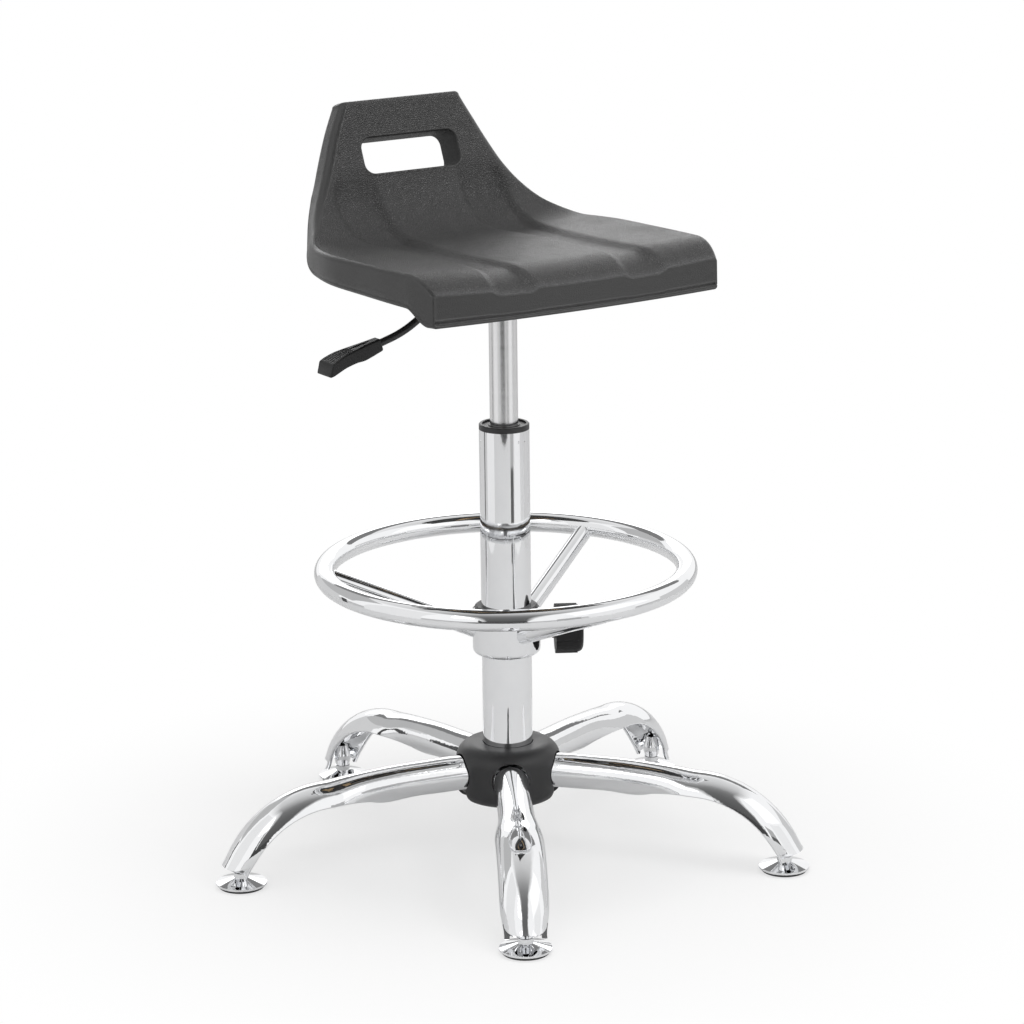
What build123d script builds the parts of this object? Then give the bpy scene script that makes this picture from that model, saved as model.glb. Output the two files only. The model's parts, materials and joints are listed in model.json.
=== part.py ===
"""Tall drafting stool: moulded foam seat on a gas lift, chromed foot ring and five-leg base on glides.

All sizes are millimetres. The origin is on the floor on the column axis, +Z is up and the seat faces -Y.
"""
from build123d import *
from math import cos, radians, sin, tan
import os

os.makedirs("parts", exist_ok=True)

# Clearances and fits
fit_gap = 0.05          # radial play of a pin or stem that turns in its hole
slide_gap = 0.08        # radial play of a sliding sleeve
clear_gap = 0.4         # space left between pieces that move past each other
overrun = 2.0           # how far a cutting shape runs past the face it opens

# Gas lift column
column_radius = 25.0
column_wall = 2.6
column_top = 438.5
column_bottom = 60.0
column_taper = 1.1      # how much the column radius shrinks inside the hub
lift_radius = 14.0
lift_wall = 1.5
lift_taper = 0.8        # how much the lift radius shrinks inside the seat socket
lift_length = 338.0
lift_seat_drop = 20.5   # from the underside of the seat down to the top of the lift
taper_height = 22.0     # height of the lift's end that sits in the seat socket
bush_flange_height = 5.5
bush_length = 82.0
bush_step = 1.6         # depth of the groove in the top of the bush
piston_rod_radius = 5.0
piston_rod_neck = 4.0
piston_rod_end = 53.0
piston_bottom = 350.0
piston_height = 12.0
piston_seal_height = 4.0
rod_guide_height = 16.0
base_plate_height = 5.0
washer_height = 1.5
washer_radius = 13.0
ball_radius = 2.2
ball_ring_radius = 9.0
ball_count = 12
buffer_height = 16.0
buffer_radius = 11.0
buffer_chamfer = 2.0
clip_height = 1.4
clip_radius = 8.0
clip_groove_depth = 1.0
valve_height = 20.0
release_pin_radius = 3.0
release_pin_rise = 5.0  # how far the pin stands out of the top of the lift
release_pin_length = 17.0
release_stroke = 3.2
stake_radius = 1.1      # small stake marks that hold the bush in the column
stake_drop = 9.5
stake_slope = 30.0
stake_angles = (-88.0, -70.0, 32.0, 50.0, 152.0, 170.0)

# Hub
hub_radius = 52.5
hub_wall = 2.6
hub_bottom = 56.5
hub_top = 114.5
hub_round = 17.0
hub_lower_round = 14.0
hub_arch_radius = 19.0
hub_slot_half_width = 13.0 # the arch closes to this below the leg, so the cover snaps on
hub_hole_gap = 0.7
core_radius = 32.0
core_bottom = 66.0

# Legs
leg_count = 5
leg_first_angle = -119.6
leg_tube_radius = 17.5
leg_round_turns = (-30.0, -36.0, -42.0, -90.0)  # places on the round tube that become the channel edges
leg_wall = 2.5
leg_reach = 302.7       # distance from the axis to the end of the crown at the foot
leg_foot_height = 23.3  # height of that end above the floor
leg_first_press = 0.004 # the tube is out of round by this share before it is pressed
leg_start = 24.0
leg_straight_end = 80.0 # distance from the axis where the leg starts to droop
leg_press_length = 54.0 # length over which the round tube is pressed to a channel
leg_bore_margin = 28.0  # from the end of the bore to where the pressing starts
leg_crown_drop = 7.5    # how far the crown has sunk where the channel starts to bend
leg_bend_radius = 118.0
leg_bend_angle = 60.0
leg_tail = 17.0
leg_channel_wall = 5.0
leg_channel_depth = 19.0
leg_channel_half_width = 23.5
leg_end_half_width = 20.5
leg_end_round = 14.0    # rounding of the two corners of a leg's end

# Glides
glide_inset = 18.7      # from the end of the leg's crown in to the glide's axis
glide_radius = 25.0
glide_pad_radius = 23.0
glide_pad_height = 3.0
glide_rim_height = 2.0
glide_cone_top = 10.0
glide_cone_sag = 2.3    # how far the hollow of the dish lies below its neck
glide_sag_place = 0.62  # share of the radius where that is measured
glide_neck_radius = 7.5
glide_neck_top = 15.0
glide_stem_radius = 4.8
glide_stem_top = 28.5
socket_low_radius = 7.0
socket_mid_radius = 8.8
socket_top_radius = 5.6
socket_height = 22.0

# Foot ring
ring_radius = 180.5
ring_tube_radius = 10.5
ring_tube_wall = 1.5
ring_height = 294.6
spoke_radius = 8.6
spoke_root_rise = 24.0  # from the bottom of the collar up to the inner end of a spoke
spoke_end_drop = 2.5    # from the middle of the ring tube down to the outer end of a spoke
spoke_first_angle = 29.7
spoke_count = 3
collar_radius = 34.0
collar_wall = 4.0
collar_drop = 86.6      # from the middle of the ring tube down to the bottom of the collar
collar_height = 44.8
collar_round = 6.0
collar_lip_radius = 26.2
collar_lip_height = 3.4
upper_bush_height = 14.0
upper_bush_flange = 5.0
upper_bush_flange_radius = 31.5
clamp_rise = 23.0       # from the bottom of the collar up to the clamp screw
clamp_angle = -29.5
screw_radius = 4.8
nut_radius = 8.0
nut_length = 6.5
nut_stand_out = 1.0
knob_radius = 25.0
knob_inner = 48.5
knob_outer = 76.0
knob_round = 5.5
knob_boss_radius = 9.5
knob_boss_length = 3.0
knob_flutes = 9
knob_flute_radius = 5.0
knob_flute_depth = 1.1
tip_length = 3.2
tip_gap = 0.35

# Seat
seat_half_width = 164.0
seat_middle_half_width = 170.0
seat_flank_half_width = 169.0
bend_half_widths = (161.5, 150.0, 130.0, 111.0)  # from the start to the end of the bend, in even steps
back_half_widths = (98.5, 85.5, 75.0, 58.0)     # up the back, at the turns below
back_turns = (67.0, 71.5, 75.0, 77.9)            # degrees the back leans at those widths, last one on top
back_thickness = 31.0
back_top_thickness = 25.0
seat_edge_round = 5.0
back_front_round = 9.0
back_rear_round = 8.0
seat_under = 594.5
seat_front_corner = -133.4
seat_front_bulge = 9.0  # how far the front edge bows forward in the middle
seat_lip_start = -95.0
seat_lip_rise = 33.7    # from the underside up to the sitting surface where the front lip starts
seat_tilt = 1.6         # degrees the seat rises towards the front
seat_bend_start = 82.3
seat_bend_radius = 79.4
seat_bend_angle = 62.9
back_radius = 339.6
seat_dish = 3.4
dish_half_width = 150.0
lip_edge_rise = 18.5    # from the underside up to the front edge
lip_drop = 12.7         # from the underside down to the bottom of the front lip
lip_bottom_depth = 9.0
channel_center = 72.0
channel_half_width = 21.5
channel_slope = 9.0
channel_depth = 4.2
channel_fade_angle = 70.0
slot_half_width = 55.5
slot_middle_angle = 68.2
slot_half_height = 19.5
slot_round = 9.0
slot_draft = 1.5        # degrees the slot walls close towards the back

# Seat fixing and lever
insert_half_width = 92.0
insert_half_depth = 66.0
insert_height = 8.0
insert_round = 14.0
tray_half_width = 52.0
tray_half_depth = 40.0
tray_depth = 32.5       # from the underside of the seat down to the bottom of the tray
tray_wall = 2.5
tray_round = 8.0
flange_half_width = 72.0
flange_half_depth = 60.0
flange_height = 3.0
flange_round = 10.0
socket_outer_radius = 19.0
bolt_radius = 3.0
bolt_head_radius = 5.0
bolt_head_height = 4.0
bolt_washer_radius = 7.0
bolt_washer_height = 1.4
bolt_end_gap = 1.5
bolt_x = 62.0
bolt_y = 50.0
nut_plate_radius = 10.0
nut_plate_height = 2.0
lever_radius = 3.75
lever_inner_end = 7.0
lever_pivot_x = -30.0
lever_block = 14.0
trunnion_radius = 3.0
bracket_wall = 3.0
bracket_half_length = 8.0
bracket_drop = 16.5
lever_exit_half_width = 6.5
lever_exit_height = 14.0
lever_first_bend = -60.3
lever_second_bend = -112.8
lever_fall = 33.35      # how far the lever drops between its two bends
lever_first_radius = 60.0
lever_second_radius = 110.0
grip_root_x = -140.0
grip_slope = 16.0
grip_length = 63.0
grip_rod_depth = 40.0
grip_root_half_width = 5.6
grip_end_half_width = 14.0
grip_root_thickness = 13.0
grip_end_thickness = 12.0
grip_round = 2.0


def polar(radius, angle, height):
    """Point at a distance and angle round the column axis."""
    return Vector(radius * cos(radians(angle)), radius * sin(radians(angle)), height)


def upright_plane(angle):
    """Plane standing on a radius: its first axis points outward and its second axis up."""
    outward = polar(1, angle, 0)
    return Plane(origin=(0, 0, 0), x_dir=outward, z_dir=outward.cross(Vector(0, 0, 1)))


def outward_plane(angle, radius, height, drop=0.0):
    """Plane across a radial path that slopes down by the given angle; its second axis is the upper side."""
    across = polar(1, angle + 90, 0)
    forward = polar(cos(radians(drop)), angle, -sin(radians(drop)))
    return Plane(origin=polar(radius, angle, height), x_dir=across, z_dir=forward)


def finish_part(builder, name):
    """Name a finished piece and write its file."""
    builder.part.label = name
    export_step(builder.part, "parts/" + name + ".step")


# Places on a leg, counted in from its foot
leg_bend_reach = leg_bend_radius * sin(radians(leg_bend_angle)) + leg_tail * cos(radians(leg_bend_angle))
leg_bend_drop = leg_bend_radius * (1 - cos(radians(leg_bend_angle))) + leg_tail * sin(radians(leg_bend_angle))
leg_press_end = leg_reach - leg_bend_reach
leg_round_end = leg_press_end - leg_press_length
leg_bore_end = leg_round_end - leg_bore_margin
leg_height = leg_foot_height + leg_bend_drop + leg_crown_drop - leg_tube_radius
glide_circle = leg_reach - glide_inset

# Column
column_inner = column_radius - column_wall
taper_start = hub_top - hub_wall
core_top = taper_start
with BuildPart() as column_tube:
    with BuildSketch(Plane.XZ):
        Polygon(
            (column_inner, column_bottom),
            (column_radius - column_taper, column_bottom),
            (column_radius, taper_start),
            (column_radius, column_top),
            (column_inner, column_top),
            align=None,
        )
    revolve(axis=Axis.Z)
    for stake_angle in stake_angles:
        stake_spot = polar(column_radius, stake_angle, column_top - stake_drop)
        with BuildSketch(Plane(origin=stake_spot, z_dir=polar(1, stake_angle, 0))):
            Circle(stake_radius)
        extrude(amount=-stake_radius, taper=stake_slope, mode=Mode.SUBTRACT)
finish_part(column_tube, "column_tube")

# Black guide bush with a grooved flange on the top of the column
bush_inner = lift_radius + slide_gap
bush_top = column_top + bush_flange_height
groove_outer = column_radius - 2 * bush_step
groove_inner = bush_inner + bush_step
with BuildPart() as guide_bush:
    with BuildSketch(Plane.XZ):
        Polygon(
            (bush_inner, column_top - bush_length),
            (column_inner, column_top - bush_length),
            (column_inner, column_top),
            (column_radius, column_top),
            (column_radius, bush_top - bush_step / 2),
            (column_radius - bush_step / 2, bush_top),
            (groove_outer, bush_top),
            (groove_outer, bush_top - bush_step),
            (groove_inner, bush_top - bush_step),
            (groove_inner, bush_top - bush_step / 2),
            (bush_inner, bush_top - bush_step / 2),
            align=None,
        )
    revolve(axis=Axis.Z)
finish_part(guide_bush, "guide_bush")

# Disc in the foot of the column that carries the thrust bearing
base_plate_top = column_bottom + base_plate_height
with BuildPart() as column_base_plate:
    with BuildSketch(Plane.XY.offset(column_bottom)):
        Circle(column_inner)
        Circle(piston_rod_neck + clear_gap, mode=Mode.SUBTRACT)
    extrude(amount=base_plate_height)
finish_part(column_base_plate, "column_base_plate")

with BuildPart() as bearing_lower_washer:
    with BuildSketch(Plane.XY.offset(base_plate_top)):
        Circle(washer_radius)
        Circle(piston_rod_neck + clear_gap, mode=Mode.SUBTRACT)
    extrude(amount=washer_height)
finish_part(bearing_lower_washer, "bearing_lower_washer")

ball_center = base_plate_top + washer_height + fit_gap + ball_radius
with BuildPart() as bearing_balls:
    with PolarLocations(ball_ring_radius, ball_count):
        with Locations((0, 0, ball_center)):
            Sphere(ball_radius)
finish_part(bearing_balls, "bearing_balls")

cage_half_height = ball_radius / 3
with BuildPart() as bearing_cage:
    with BuildSketch(Plane.XY.offset(ball_center - cage_half_height)):
        Circle(washer_radius - clear_gap)
        Circle(piston_rod_neck + clear_gap, mode=Mode.SUBTRACT)
        with PolarLocations(ball_ring_radius, ball_count):
            Circle(ball_radius + fit_gap, mode=Mode.SUBTRACT)
    extrude(amount=2 * cage_half_height)
finish_part(bearing_cage, "bearing_cage")

upper_washer_bottom = ball_center + ball_radius + fit_gap
rod_shoulder = upper_washer_bottom + washer_height
with BuildPart() as bearing_upper_washer:
    with BuildSketch(Plane.XY.offset(upper_washer_bottom)):
        Circle(washer_radius)
        Circle(piston_rod_neck, mode=Mode.SUBTRACT)
    extrude(amount=washer_height)
finish_part(bearing_upper_washer, "bearing_upper_washer")

# Piston rod with its piston, clip and rubber buffer
clip_top = column_bottom - clear_gap
clip_bottom = clip_top - clip_height
clip_bore = piston_rod_neck - clip_groove_depth
with BuildPart() as piston_rod:
    with BuildSketch(Plane.XZ):
        Polygon(
            (0, piston_rod_end),
            (piston_rod_neck, piston_rod_end),
            (piston_rod_neck, clip_bottom),
            (clip_bore, clip_bottom),
            (clip_bore, clip_top),
            (piston_rod_neck, clip_top),
            (piston_rod_neck, rod_shoulder),
            (piston_rod_radius, rod_shoulder),
            (piston_rod_radius, piston_bottom),
            (piston_rod_neck, piston_bottom),
            (piston_rod_neck, piston_bottom + piston_height),
            (0, piston_bottom + piston_height),
            align=None,
        )
    revolve(axis=Axis.Z)
finish_part(piston_rod, "piston_rod")

with BuildPart() as rod_clip:
    with BuildSketch(Plane.XY.offset(clip_bottom)):
        Circle(clip_radius)
        Circle(clip_bore, mode=Mode.SUBTRACT)
        with Locations((clip_radius / 2, 0)):
            Rectangle(clip_radius + overrun, 1.5 * clip_bore, mode=Mode.SUBTRACT)
    extrude(amount=clip_height)
finish_part(rod_clip, "rod_clip")

with BuildPart() as stop_buffer:
    with BuildSketch(Plane.XY.offset(rod_shoulder)):
        Circle(buffer_radius)
        Circle(piston_rod_radius, mode=Mode.SUBTRACT)
    extrude(amount=buffer_height)
    buffer_rims = stop_buffer.edges().filter_by(GeomType.CIRCLE).group_by(Axis.Z)[-1]
    chamfer(buffer_rims.sort_by(SortBy.RADIUS)[-1], buffer_chamfer)
finish_part(stop_buffer, "stop_buffer")

lift_inner = lift_radius - lift_wall
seal_bottom = piston_bottom + (piston_height - piston_seal_height) / 2
seal_groove = lift_inner - piston_seal_height / 2
with BuildPart() as piston_head:
    with BuildSketch(Plane.XZ):
        Polygon(
            (piston_rod_neck, piston_bottom),
            (lift_inner - clear_gap, piston_bottom),
            (lift_inner - clear_gap, seal_bottom),
            (seal_groove, seal_bottom),
            (seal_groove, seal_bottom + piston_seal_height),
            (lift_inner - clear_gap, seal_bottom + piston_seal_height),
            (lift_inner - clear_gap, piston_bottom + piston_height),
            (piston_rod_neck, piston_bottom + piston_height),
            align=None,
        )
    revolve(axis=Axis.Z)
finish_part(piston_head, "piston_head")

with BuildPart() as piston_seal:
    with BuildSketch(Plane.XY.offset(seal_bottom)):
        Circle(lift_inner - slide_gap)
        Circle(seal_groove, mode=Mode.SUBTRACT)
    extrude(amount=piston_seal_height)
finish_part(piston_seal, "piston_seal")

# Gas cylinder, closed below by a rod guide and above by a valve
lift_top = seat_under - lift_seat_drop
socket_bottom = lift_top - taper_height
lift_bottom = lift_top - lift_length
valve_bottom = lift_top - valve_height
with BuildPart() as gas_cylinder:
    with BuildSketch(Plane.XZ):
        Polygon(
            (lift_inner, lift_bottom),
            (lift_radius, lift_bottom),
            (lift_radius, socket_bottom),
            (lift_radius - lift_taper, lift_top),
            (lift_inner - lift_taper, lift_top),
            (lift_inner - lift_taper, valve_bottom),
            (lift_inner, valve_bottom),
            align=None,
        )
    revolve(axis=Axis.Z)
finish_part(gas_cylinder, "gas_cylinder")

with BuildPart() as rod_guide:
    with BuildSketch(Plane.XY.offset(lift_bottom)):
        Circle(lift_inner)
        Circle(piston_rod_radius + slide_gap, mode=Mode.SUBTRACT)
    extrude(amount=rod_guide_height)
finish_part(rod_guide, "rod_guide")

release_pin_top = lift_top + release_pin_rise
release_pin_bottom = release_pin_top - release_pin_length
release_bore_bottom = release_pin_bottom - release_stroke - clear_gap
with BuildPart() as valve_plug:
    with BuildSketch(Plane.XZ):
        Polygon(
            (0, valve_bottom),
            (lift_inner - lift_taper, valve_bottom),
            (lift_inner - lift_taper, lift_top),
            (release_pin_radius + fit_gap, lift_top),
            (release_pin_radius + fit_gap, release_bore_bottom),
            (0, release_bore_bottom),
            align=None,
        )
    revolve(axis=Axis.Z)
finish_part(valve_plug, "valve_plug")

with BuildPart() as release_pin:
    with BuildSketch(Plane.XY.offset(release_pin_bottom)):
        Circle(release_pin_radius)
    extrude(amount=release_pin_length)
    chamfer(release_pin.edges().group_by(Axis.Z)[-1], release_pin_radius / 4)
finish_part(release_pin, "release_pin")

# Steel hub core and black moulded hub cover with an arch over each leg
leg_angles = [leg_first_angle + 360 * leg_number / leg_count for leg_number in range(leg_count)]
core_taper = column_taper * (taper_start - core_bottom) / (taper_start - column_bottom)
with BuildPart() as hub_core:
    with BuildSketch(Plane.XZ):
        Polygon(
            (column_radius - core_taper, core_bottom),
            (core_radius, core_bottom),
            (core_radius, core_top),
            (column_radius, core_top),
            align=None,
        )
    revolve(axis=Axis.Z)
finish_part(hub_core, "hub_core")

hub_hole = column_radius + hub_hole_gap
hub_low = hub_bottom + hub_lower_round
hub_lip = hub_radius - hub_lower_round
with BuildPart() as hub_cover:
    with BuildSketch(Plane.XZ):
        with BuildLine():
            Line((hub_radius, hub_low), (hub_radius, hub_top - hub_round))
            RadiusArc((hub_radius, hub_top - hub_round), (hub_radius - hub_round, hub_top), -hub_round)
            Line((hub_radius - hub_round, hub_top), (hub_hole, hub_top))
            Line((hub_hole, hub_top), (hub_hole, hub_top - hub_wall))
            Line((hub_hole, hub_top - hub_wall), (hub_radius - hub_round, hub_top - hub_wall))
            RadiusArc(
                (hub_radius - hub_round, hub_top - hub_wall),
                (hub_radius - hub_wall, hub_top - hub_round),
                hub_round - hub_wall,
            )
            Line((hub_radius - hub_wall, hub_top - hub_round), (hub_radius - hub_wall, hub_low))
            RadiusArc(
                (hub_radius - hub_wall, hub_low),
                (hub_lip, hub_bottom + hub_wall),
                hub_lower_round - hub_wall,
            )
            Line((hub_lip, hub_bottom + hub_wall), (hub_lip, hub_bottom))
            RadiusArc((hub_lip, hub_bottom), (hub_radius, hub_low), -hub_lower_round)
        make_face()
    revolve(axis=Axis.Z)
    for leg_angle in leg_angles:
        with BuildSketch(outward_plane(leg_angle, core_radius, leg_height)):
            Circle(hub_arch_radius)
            with Locations((0, -hub_arch_radius)):
                Rectangle(2 * hub_slot_half_width, 2 * hub_arch_radius)
        extrude(amount=hub_radius, mode=Mode.SUBTRACT)
finish_part(hub_cover, "hub_cover")


def leg_section(plane, press, half_width):
    """Closed section of a leg, from a round tube (press 0) to a channel open below (press 1)."""
    tip_bulge = leg_channel_wall / 3
    channel_points = (
        (half_width, -leg_channel_depth),
        (half_width - leg_channel_wall / 2, -leg_channel_depth - tip_bulge),
        (half_width - leg_channel_wall, -leg_channel_depth),
        (0, -leg_channel_wall),
    )
    points = []
    for turn, (channel_x, channel_y) in zip(leg_round_turns, channel_points):
        round_x = leg_tube_radius * cos(radians(turn))
        round_y = leg_tube_radius * sin(radians(turn)) - leg_tube_radius
        points.append((round_x + press * (channel_x - round_x), round_y + press * (channel_y - round_y)))
    edge, tip, inner, under = points
    left_edge, left_tip, left_inner = [(-x, y) for x, y in (edge, tip, inner)]
    with BuildSketch(plane) as section:
        with BuildLine():
            ThreePointArc(left_edge, (0, 0), edge)
            ThreePointArc(edge, tip, inner)
            ThreePointArc(inner, under, left_inner)
            ThreePointArc(left_inner, left_tip, left_edge)
        make_face()
    return section.sketch


def leg_crown(reach):
    """Height of the crown of a leg before its bend."""
    droop = max(0.0, reach - leg_straight_end) / (leg_press_end - leg_straight_end)
    return leg_height + leg_tube_radius - leg_crown_drop * droop**2


def leg_stations(angle):
    """Sections of one leg from the round tube, through the pressed part, to the end of the bent channel."""
    round_steps = 4
    stations = []
    for step in range(round_steps + 1):
        reach = leg_start + (leg_round_end - leg_start) * step / round_steps
        plane = outward_plane(angle, reach, leg_crown(reach))
        stations.append(leg_section(plane, leg_first_press, leg_channel_half_width))
    press_steps = 3
    for step in range(1, press_steps + 1):
        share = step / press_steps
        reach = leg_round_end + share * (leg_press_end - leg_round_end)
        plane = outward_plane(angle, reach, leg_crown(reach))
        stations.append(leg_section(plane, share * share * (3 - 2 * share), leg_channel_half_width))
    bend_steps = 6
    for step in range(1, bend_steps + 1):
        turn = leg_bend_angle * step / bend_steps
        reach = leg_press_end + leg_bend_radius * sin(radians(turn))
        height = leg_crown(leg_press_end) - leg_bend_radius * (1 - cos(radians(turn)))
        half_width = leg_channel_half_width
        if step == bend_steps:
            half_width = (leg_channel_half_width + leg_end_half_width) / 2
        stations.append(leg_section(outward_plane(angle, reach, height, turn), 1, half_width))
    reach += leg_tail * cos(radians(leg_bend_angle))
    height -= leg_tail * sin(radians(leg_bend_angle))
    stations.append(leg_section(outward_plane(angle, reach, height, leg_bend_angle), 1, leg_end_half_width))
    return stations


leg_parts = []
for leg_number, leg_angle in enumerate(leg_angles, start=1):
    with BuildPart() as leg:
        loft(sections=leg_stations(leg_angle))
        with BuildSketch(Plane.XY.offset(leg_height - 2 * leg_tube_radius)):
            Circle(core_radius)
        extrude(amount=4 * leg_tube_radius, mode=Mode.SUBTRACT)
        with BuildSketch(outward_plane(leg_angle, leg_bore_end, leg_height)):
            Circle(leg_tube_radius - leg_wall)
        extrude(amount=-leg_bore_end, mode=Mode.SUBTRACT)
        end_plane = outward_plane(leg_angle, leg_reach, leg_foot_height, leg_bend_angle)
        with BuildSketch(Plane(origin=end_plane.origin, x_dir=end_plane.x_dir, z_dir=end_plane.y_dir)):
            Rectangle(4 * leg_end_round, 2 * leg_end_round)
            with Locations((0, 2 * leg_end_round)):
                RectangleRounded(2 * leg_end_half_width, 4 * leg_end_round, leg_end_round, mode=Mode.SUBTRACT)
        extrude(amount=leg_tube_radius, both=True, mode=Mode.SUBTRACT)
    finish_part(leg, "leg_" + str(leg_number))
    leg_parts.append(leg.part)

# Barrel sockets inside the leg ends and the glides that turn in them
socket_foot = glide_neck_top + clear_gap
socket_head = socket_foot + socket_height
with BuildPart() as glide_sockets:
    for leg_angle in leg_angles:
        glide_spot = polar(glide_circle, leg_angle, 0)
        with BuildSketch(Plane(origin=glide_spot, x_dir=(1, 0, 0), z_dir=(0, -1, 0))):
            Polygon(
                (glide_stem_radius + fit_gap, socket_foot),
                (socket_low_radius, socket_foot),
                (socket_mid_radius, socket_foot + socket_height / 3),
                (socket_mid_radius, socket_foot + socket_height / 2),
                (socket_top_radius, socket_head),
                (0, socket_head),
                (0, glide_stem_top + clear_gap),
                (glide_stem_radius + fit_gap, glide_stem_top + clear_gap),
                align=None,
            )
        revolve(axis=Axis(glide_spot, (0, 0, 1)))
    for leg_part in leg_parts:
        add(leg_part, mode=Mode.SUBTRACT)
finish_part(glide_sockets, "glide_sockets")

pad_lip = glide_pad_height / 2
for leg_number, leg_angle in enumerate(leg_angles, start=1):
    glide_spot = polar(glide_circle, leg_angle, 0)
    glide_plane = Plane(origin=glide_spot, x_dir=(1, 0, 0), z_dir=(0, -1, 0))
    with BuildPart() as glide:
        with BuildSketch(glide_plane):
            with BuildLine():
                Polyline(
                    (0, glide_pad_height),
                    (glide_radius, glide_pad_height),
                    (glide_radius, glide_pad_height + glide_rim_height),
                )
                ThreePointArc(
                    (glide_radius, glide_pad_height + glide_rim_height),
                    (glide_sag_place * glide_radius, glide_cone_top - glide_cone_sag),
                    (glide_neck_radius, glide_cone_top),
                )
                Polyline(
                    (glide_neck_radius, glide_cone_top),
                    (glide_neck_radius, glide_neck_top),
                    (glide_stem_radius, glide_neck_top),
                    (glide_stem_radius, glide_stem_top),
                    (0, glide_stem_top),
                    (0, glide_pad_height),
                )
            make_face()
        revolve(axis=Axis(glide_spot, (0, 0, 1)))
    finish_part(glide, "glide_" + str(leg_number))
    with BuildPart() as glide_pad:
        with BuildSketch(Plane(origin=glide_spot)):
            Circle(glide_pad_radius)
        extrude(amount=glide_pad_height)
        chamfer(glide_pad.edges().group_by(Axis.Z)[0], pad_lip / 2)
    finish_part(glide_pad, "glide_pad_" + str(leg_number))

# Foot ring, spokes and collar
with BuildPart() as foot_ring:
    with Locations((0, 0, ring_height)):
        Torus(ring_radius, ring_tube_radius)
        Torus(ring_radius, ring_tube_radius - ring_tube_wall, mode=Mode.SUBTRACT)
finish_part(foot_ring, "foot_ring")

collar_inner = collar_radius - collar_wall
collar_bottom = ring_height - collar_drop
collar_top = collar_bottom + collar_height
clamp_height = collar_bottom + clamp_rise
with BuildPart() as ring_collar:
    with BuildSketch(Plane.XZ):
        with BuildLine():
            Polyline(
                (collar_radius, collar_bottom + collar_round),
                (collar_radius, collar_top),
                (collar_inner, collar_top),
                (collar_inner, collar_bottom + collar_lip_height),
                (collar_lip_radius, collar_bottom + collar_lip_height),
                (collar_lip_radius, collar_bottom),
                (collar_radius - collar_round, collar_bottom),
            )
            RadiusArc(
                (collar_radius - collar_round, collar_bottom),
                (collar_radius, collar_bottom + collar_round),
                -collar_round,
            )
        make_face()
    revolve(axis=Axis.Z)
    with BuildSketch(outward_plane(clamp_angle, 0, clamp_height)):
        Circle(nut_radius)
    extrude(amount=2 * collar_radius, mode=Mode.SUBTRACT)
finish_part(ring_collar, "ring_collar")

spoke_angles = [spoke_first_angle + 360 * spoke_number / spoke_count for spoke_number in range(spoke_count)]
with BuildPart() as ring_spokes:
    for spoke_angle in spoke_angles:
        spoke_root = polar(collar_inner, spoke_angle, collar_bottom + spoke_root_rise)
        spoke_end = polar(ring_radius, spoke_angle, ring_height - spoke_end_drop)
        spoke_line = spoke_end - spoke_root
        with BuildSketch(Plane(origin=spoke_root, z_dir=spoke_line)):
            Circle(spoke_radius)
        extrude(amount=spoke_line.length)
    with BuildSketch(Plane.XY.offset(collar_bottom)):
        Circle(collar_radius)
    extrude(amount=collar_top, mode=Mode.SUBTRACT)
    with Locations((0, 0, ring_height)):
        Torus(ring_radius, ring_tube_radius, mode=Mode.SUBTRACT)
finish_part(ring_spokes, "ring_spokes")

# Two plastic bushes in the collar: the upper one turns inside it, the lower one turns with it
bush_bore = column_radius + slide_gap
upper_bush_bottom = collar_top + clear_gap / 2 - upper_bush_height
with BuildPart() as upper_bush:
    with BuildSketch(Plane.XZ):
        Polygon(
            (bush_bore, upper_bush_bottom),
            (collar_inner - slide_gap, upper_bush_bottom),
            (collar_inner - slide_gap, collar_top + clear_gap / 2),
            (upper_bush_flange_radius, collar_top + clear_gap / 2),
            (upper_bush_flange_radius, collar_top + upper_bush_flange - 2 * overrun / 3),
            (upper_bush_flange_radius - overrun, collar_top + upper_bush_flange),
            (bush_bore, collar_top + upper_bush_flange),
            align=None,
        )
    revolve(axis=Axis.Z)
finish_part(upper_bush, "upper_bush")

with BuildPart() as lower_bush:
    with BuildSketch(Plane.XZ):
        Polygon(
            (bush_bore, collar_bottom + collar_lip_height),
            (collar_inner, collar_bottom + collar_lip_height),
            (collar_inner, upper_bush_bottom - clear_gap),
            (bush_bore, upper_bush_bottom - clear_gap),
            align=None,
        )
    revolve(axis=Axis.Z)
    with BuildSketch(outward_plane(clamp_angle, 0, clamp_height)):
        Circle(nut_radius)
    extrude(amount=2 * collar_radius, mode=Mode.SUBTRACT)
finish_part(lower_bush, "lower_bush")

# Clamp: threaded insert in the collar, screw with a loose pressure tip, and the hand knob
nut_start = collar_radius + nut_stand_out - nut_length
with BuildPart() as clamp_insert:
    with BuildSketch(outward_plane(clamp_angle, nut_start, clamp_height)):
        Circle(nut_radius)
        Circle(screw_radius + fit_gap, mode=Mode.SUBTRACT)
    extrude(amount=nut_length)
finish_part(clamp_insert, "clamp_insert")

tip_start = column_radius + tip_gap
screw_start = tip_start + tip_length
with BuildPart() as clamp_tip:
    with BuildSketch(outward_plane(clamp_angle, tip_start, clamp_height)):
        Circle(screw_radius - clear_gap)
    extrude(amount=tip_length - fit_gap)
finish_part(clamp_tip, "clamp_tip")

knob_boss_start = knob_inner - knob_boss_length
with BuildPart() as clamp_screw:
    with BuildSketch(outward_plane(clamp_angle, screw_start, clamp_height)):
        Circle(screw_radius)
    extrude(amount=knob_inner + knob_boss_length - screw_start)
finish_part(clamp_screw, "clamp_screw")

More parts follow.
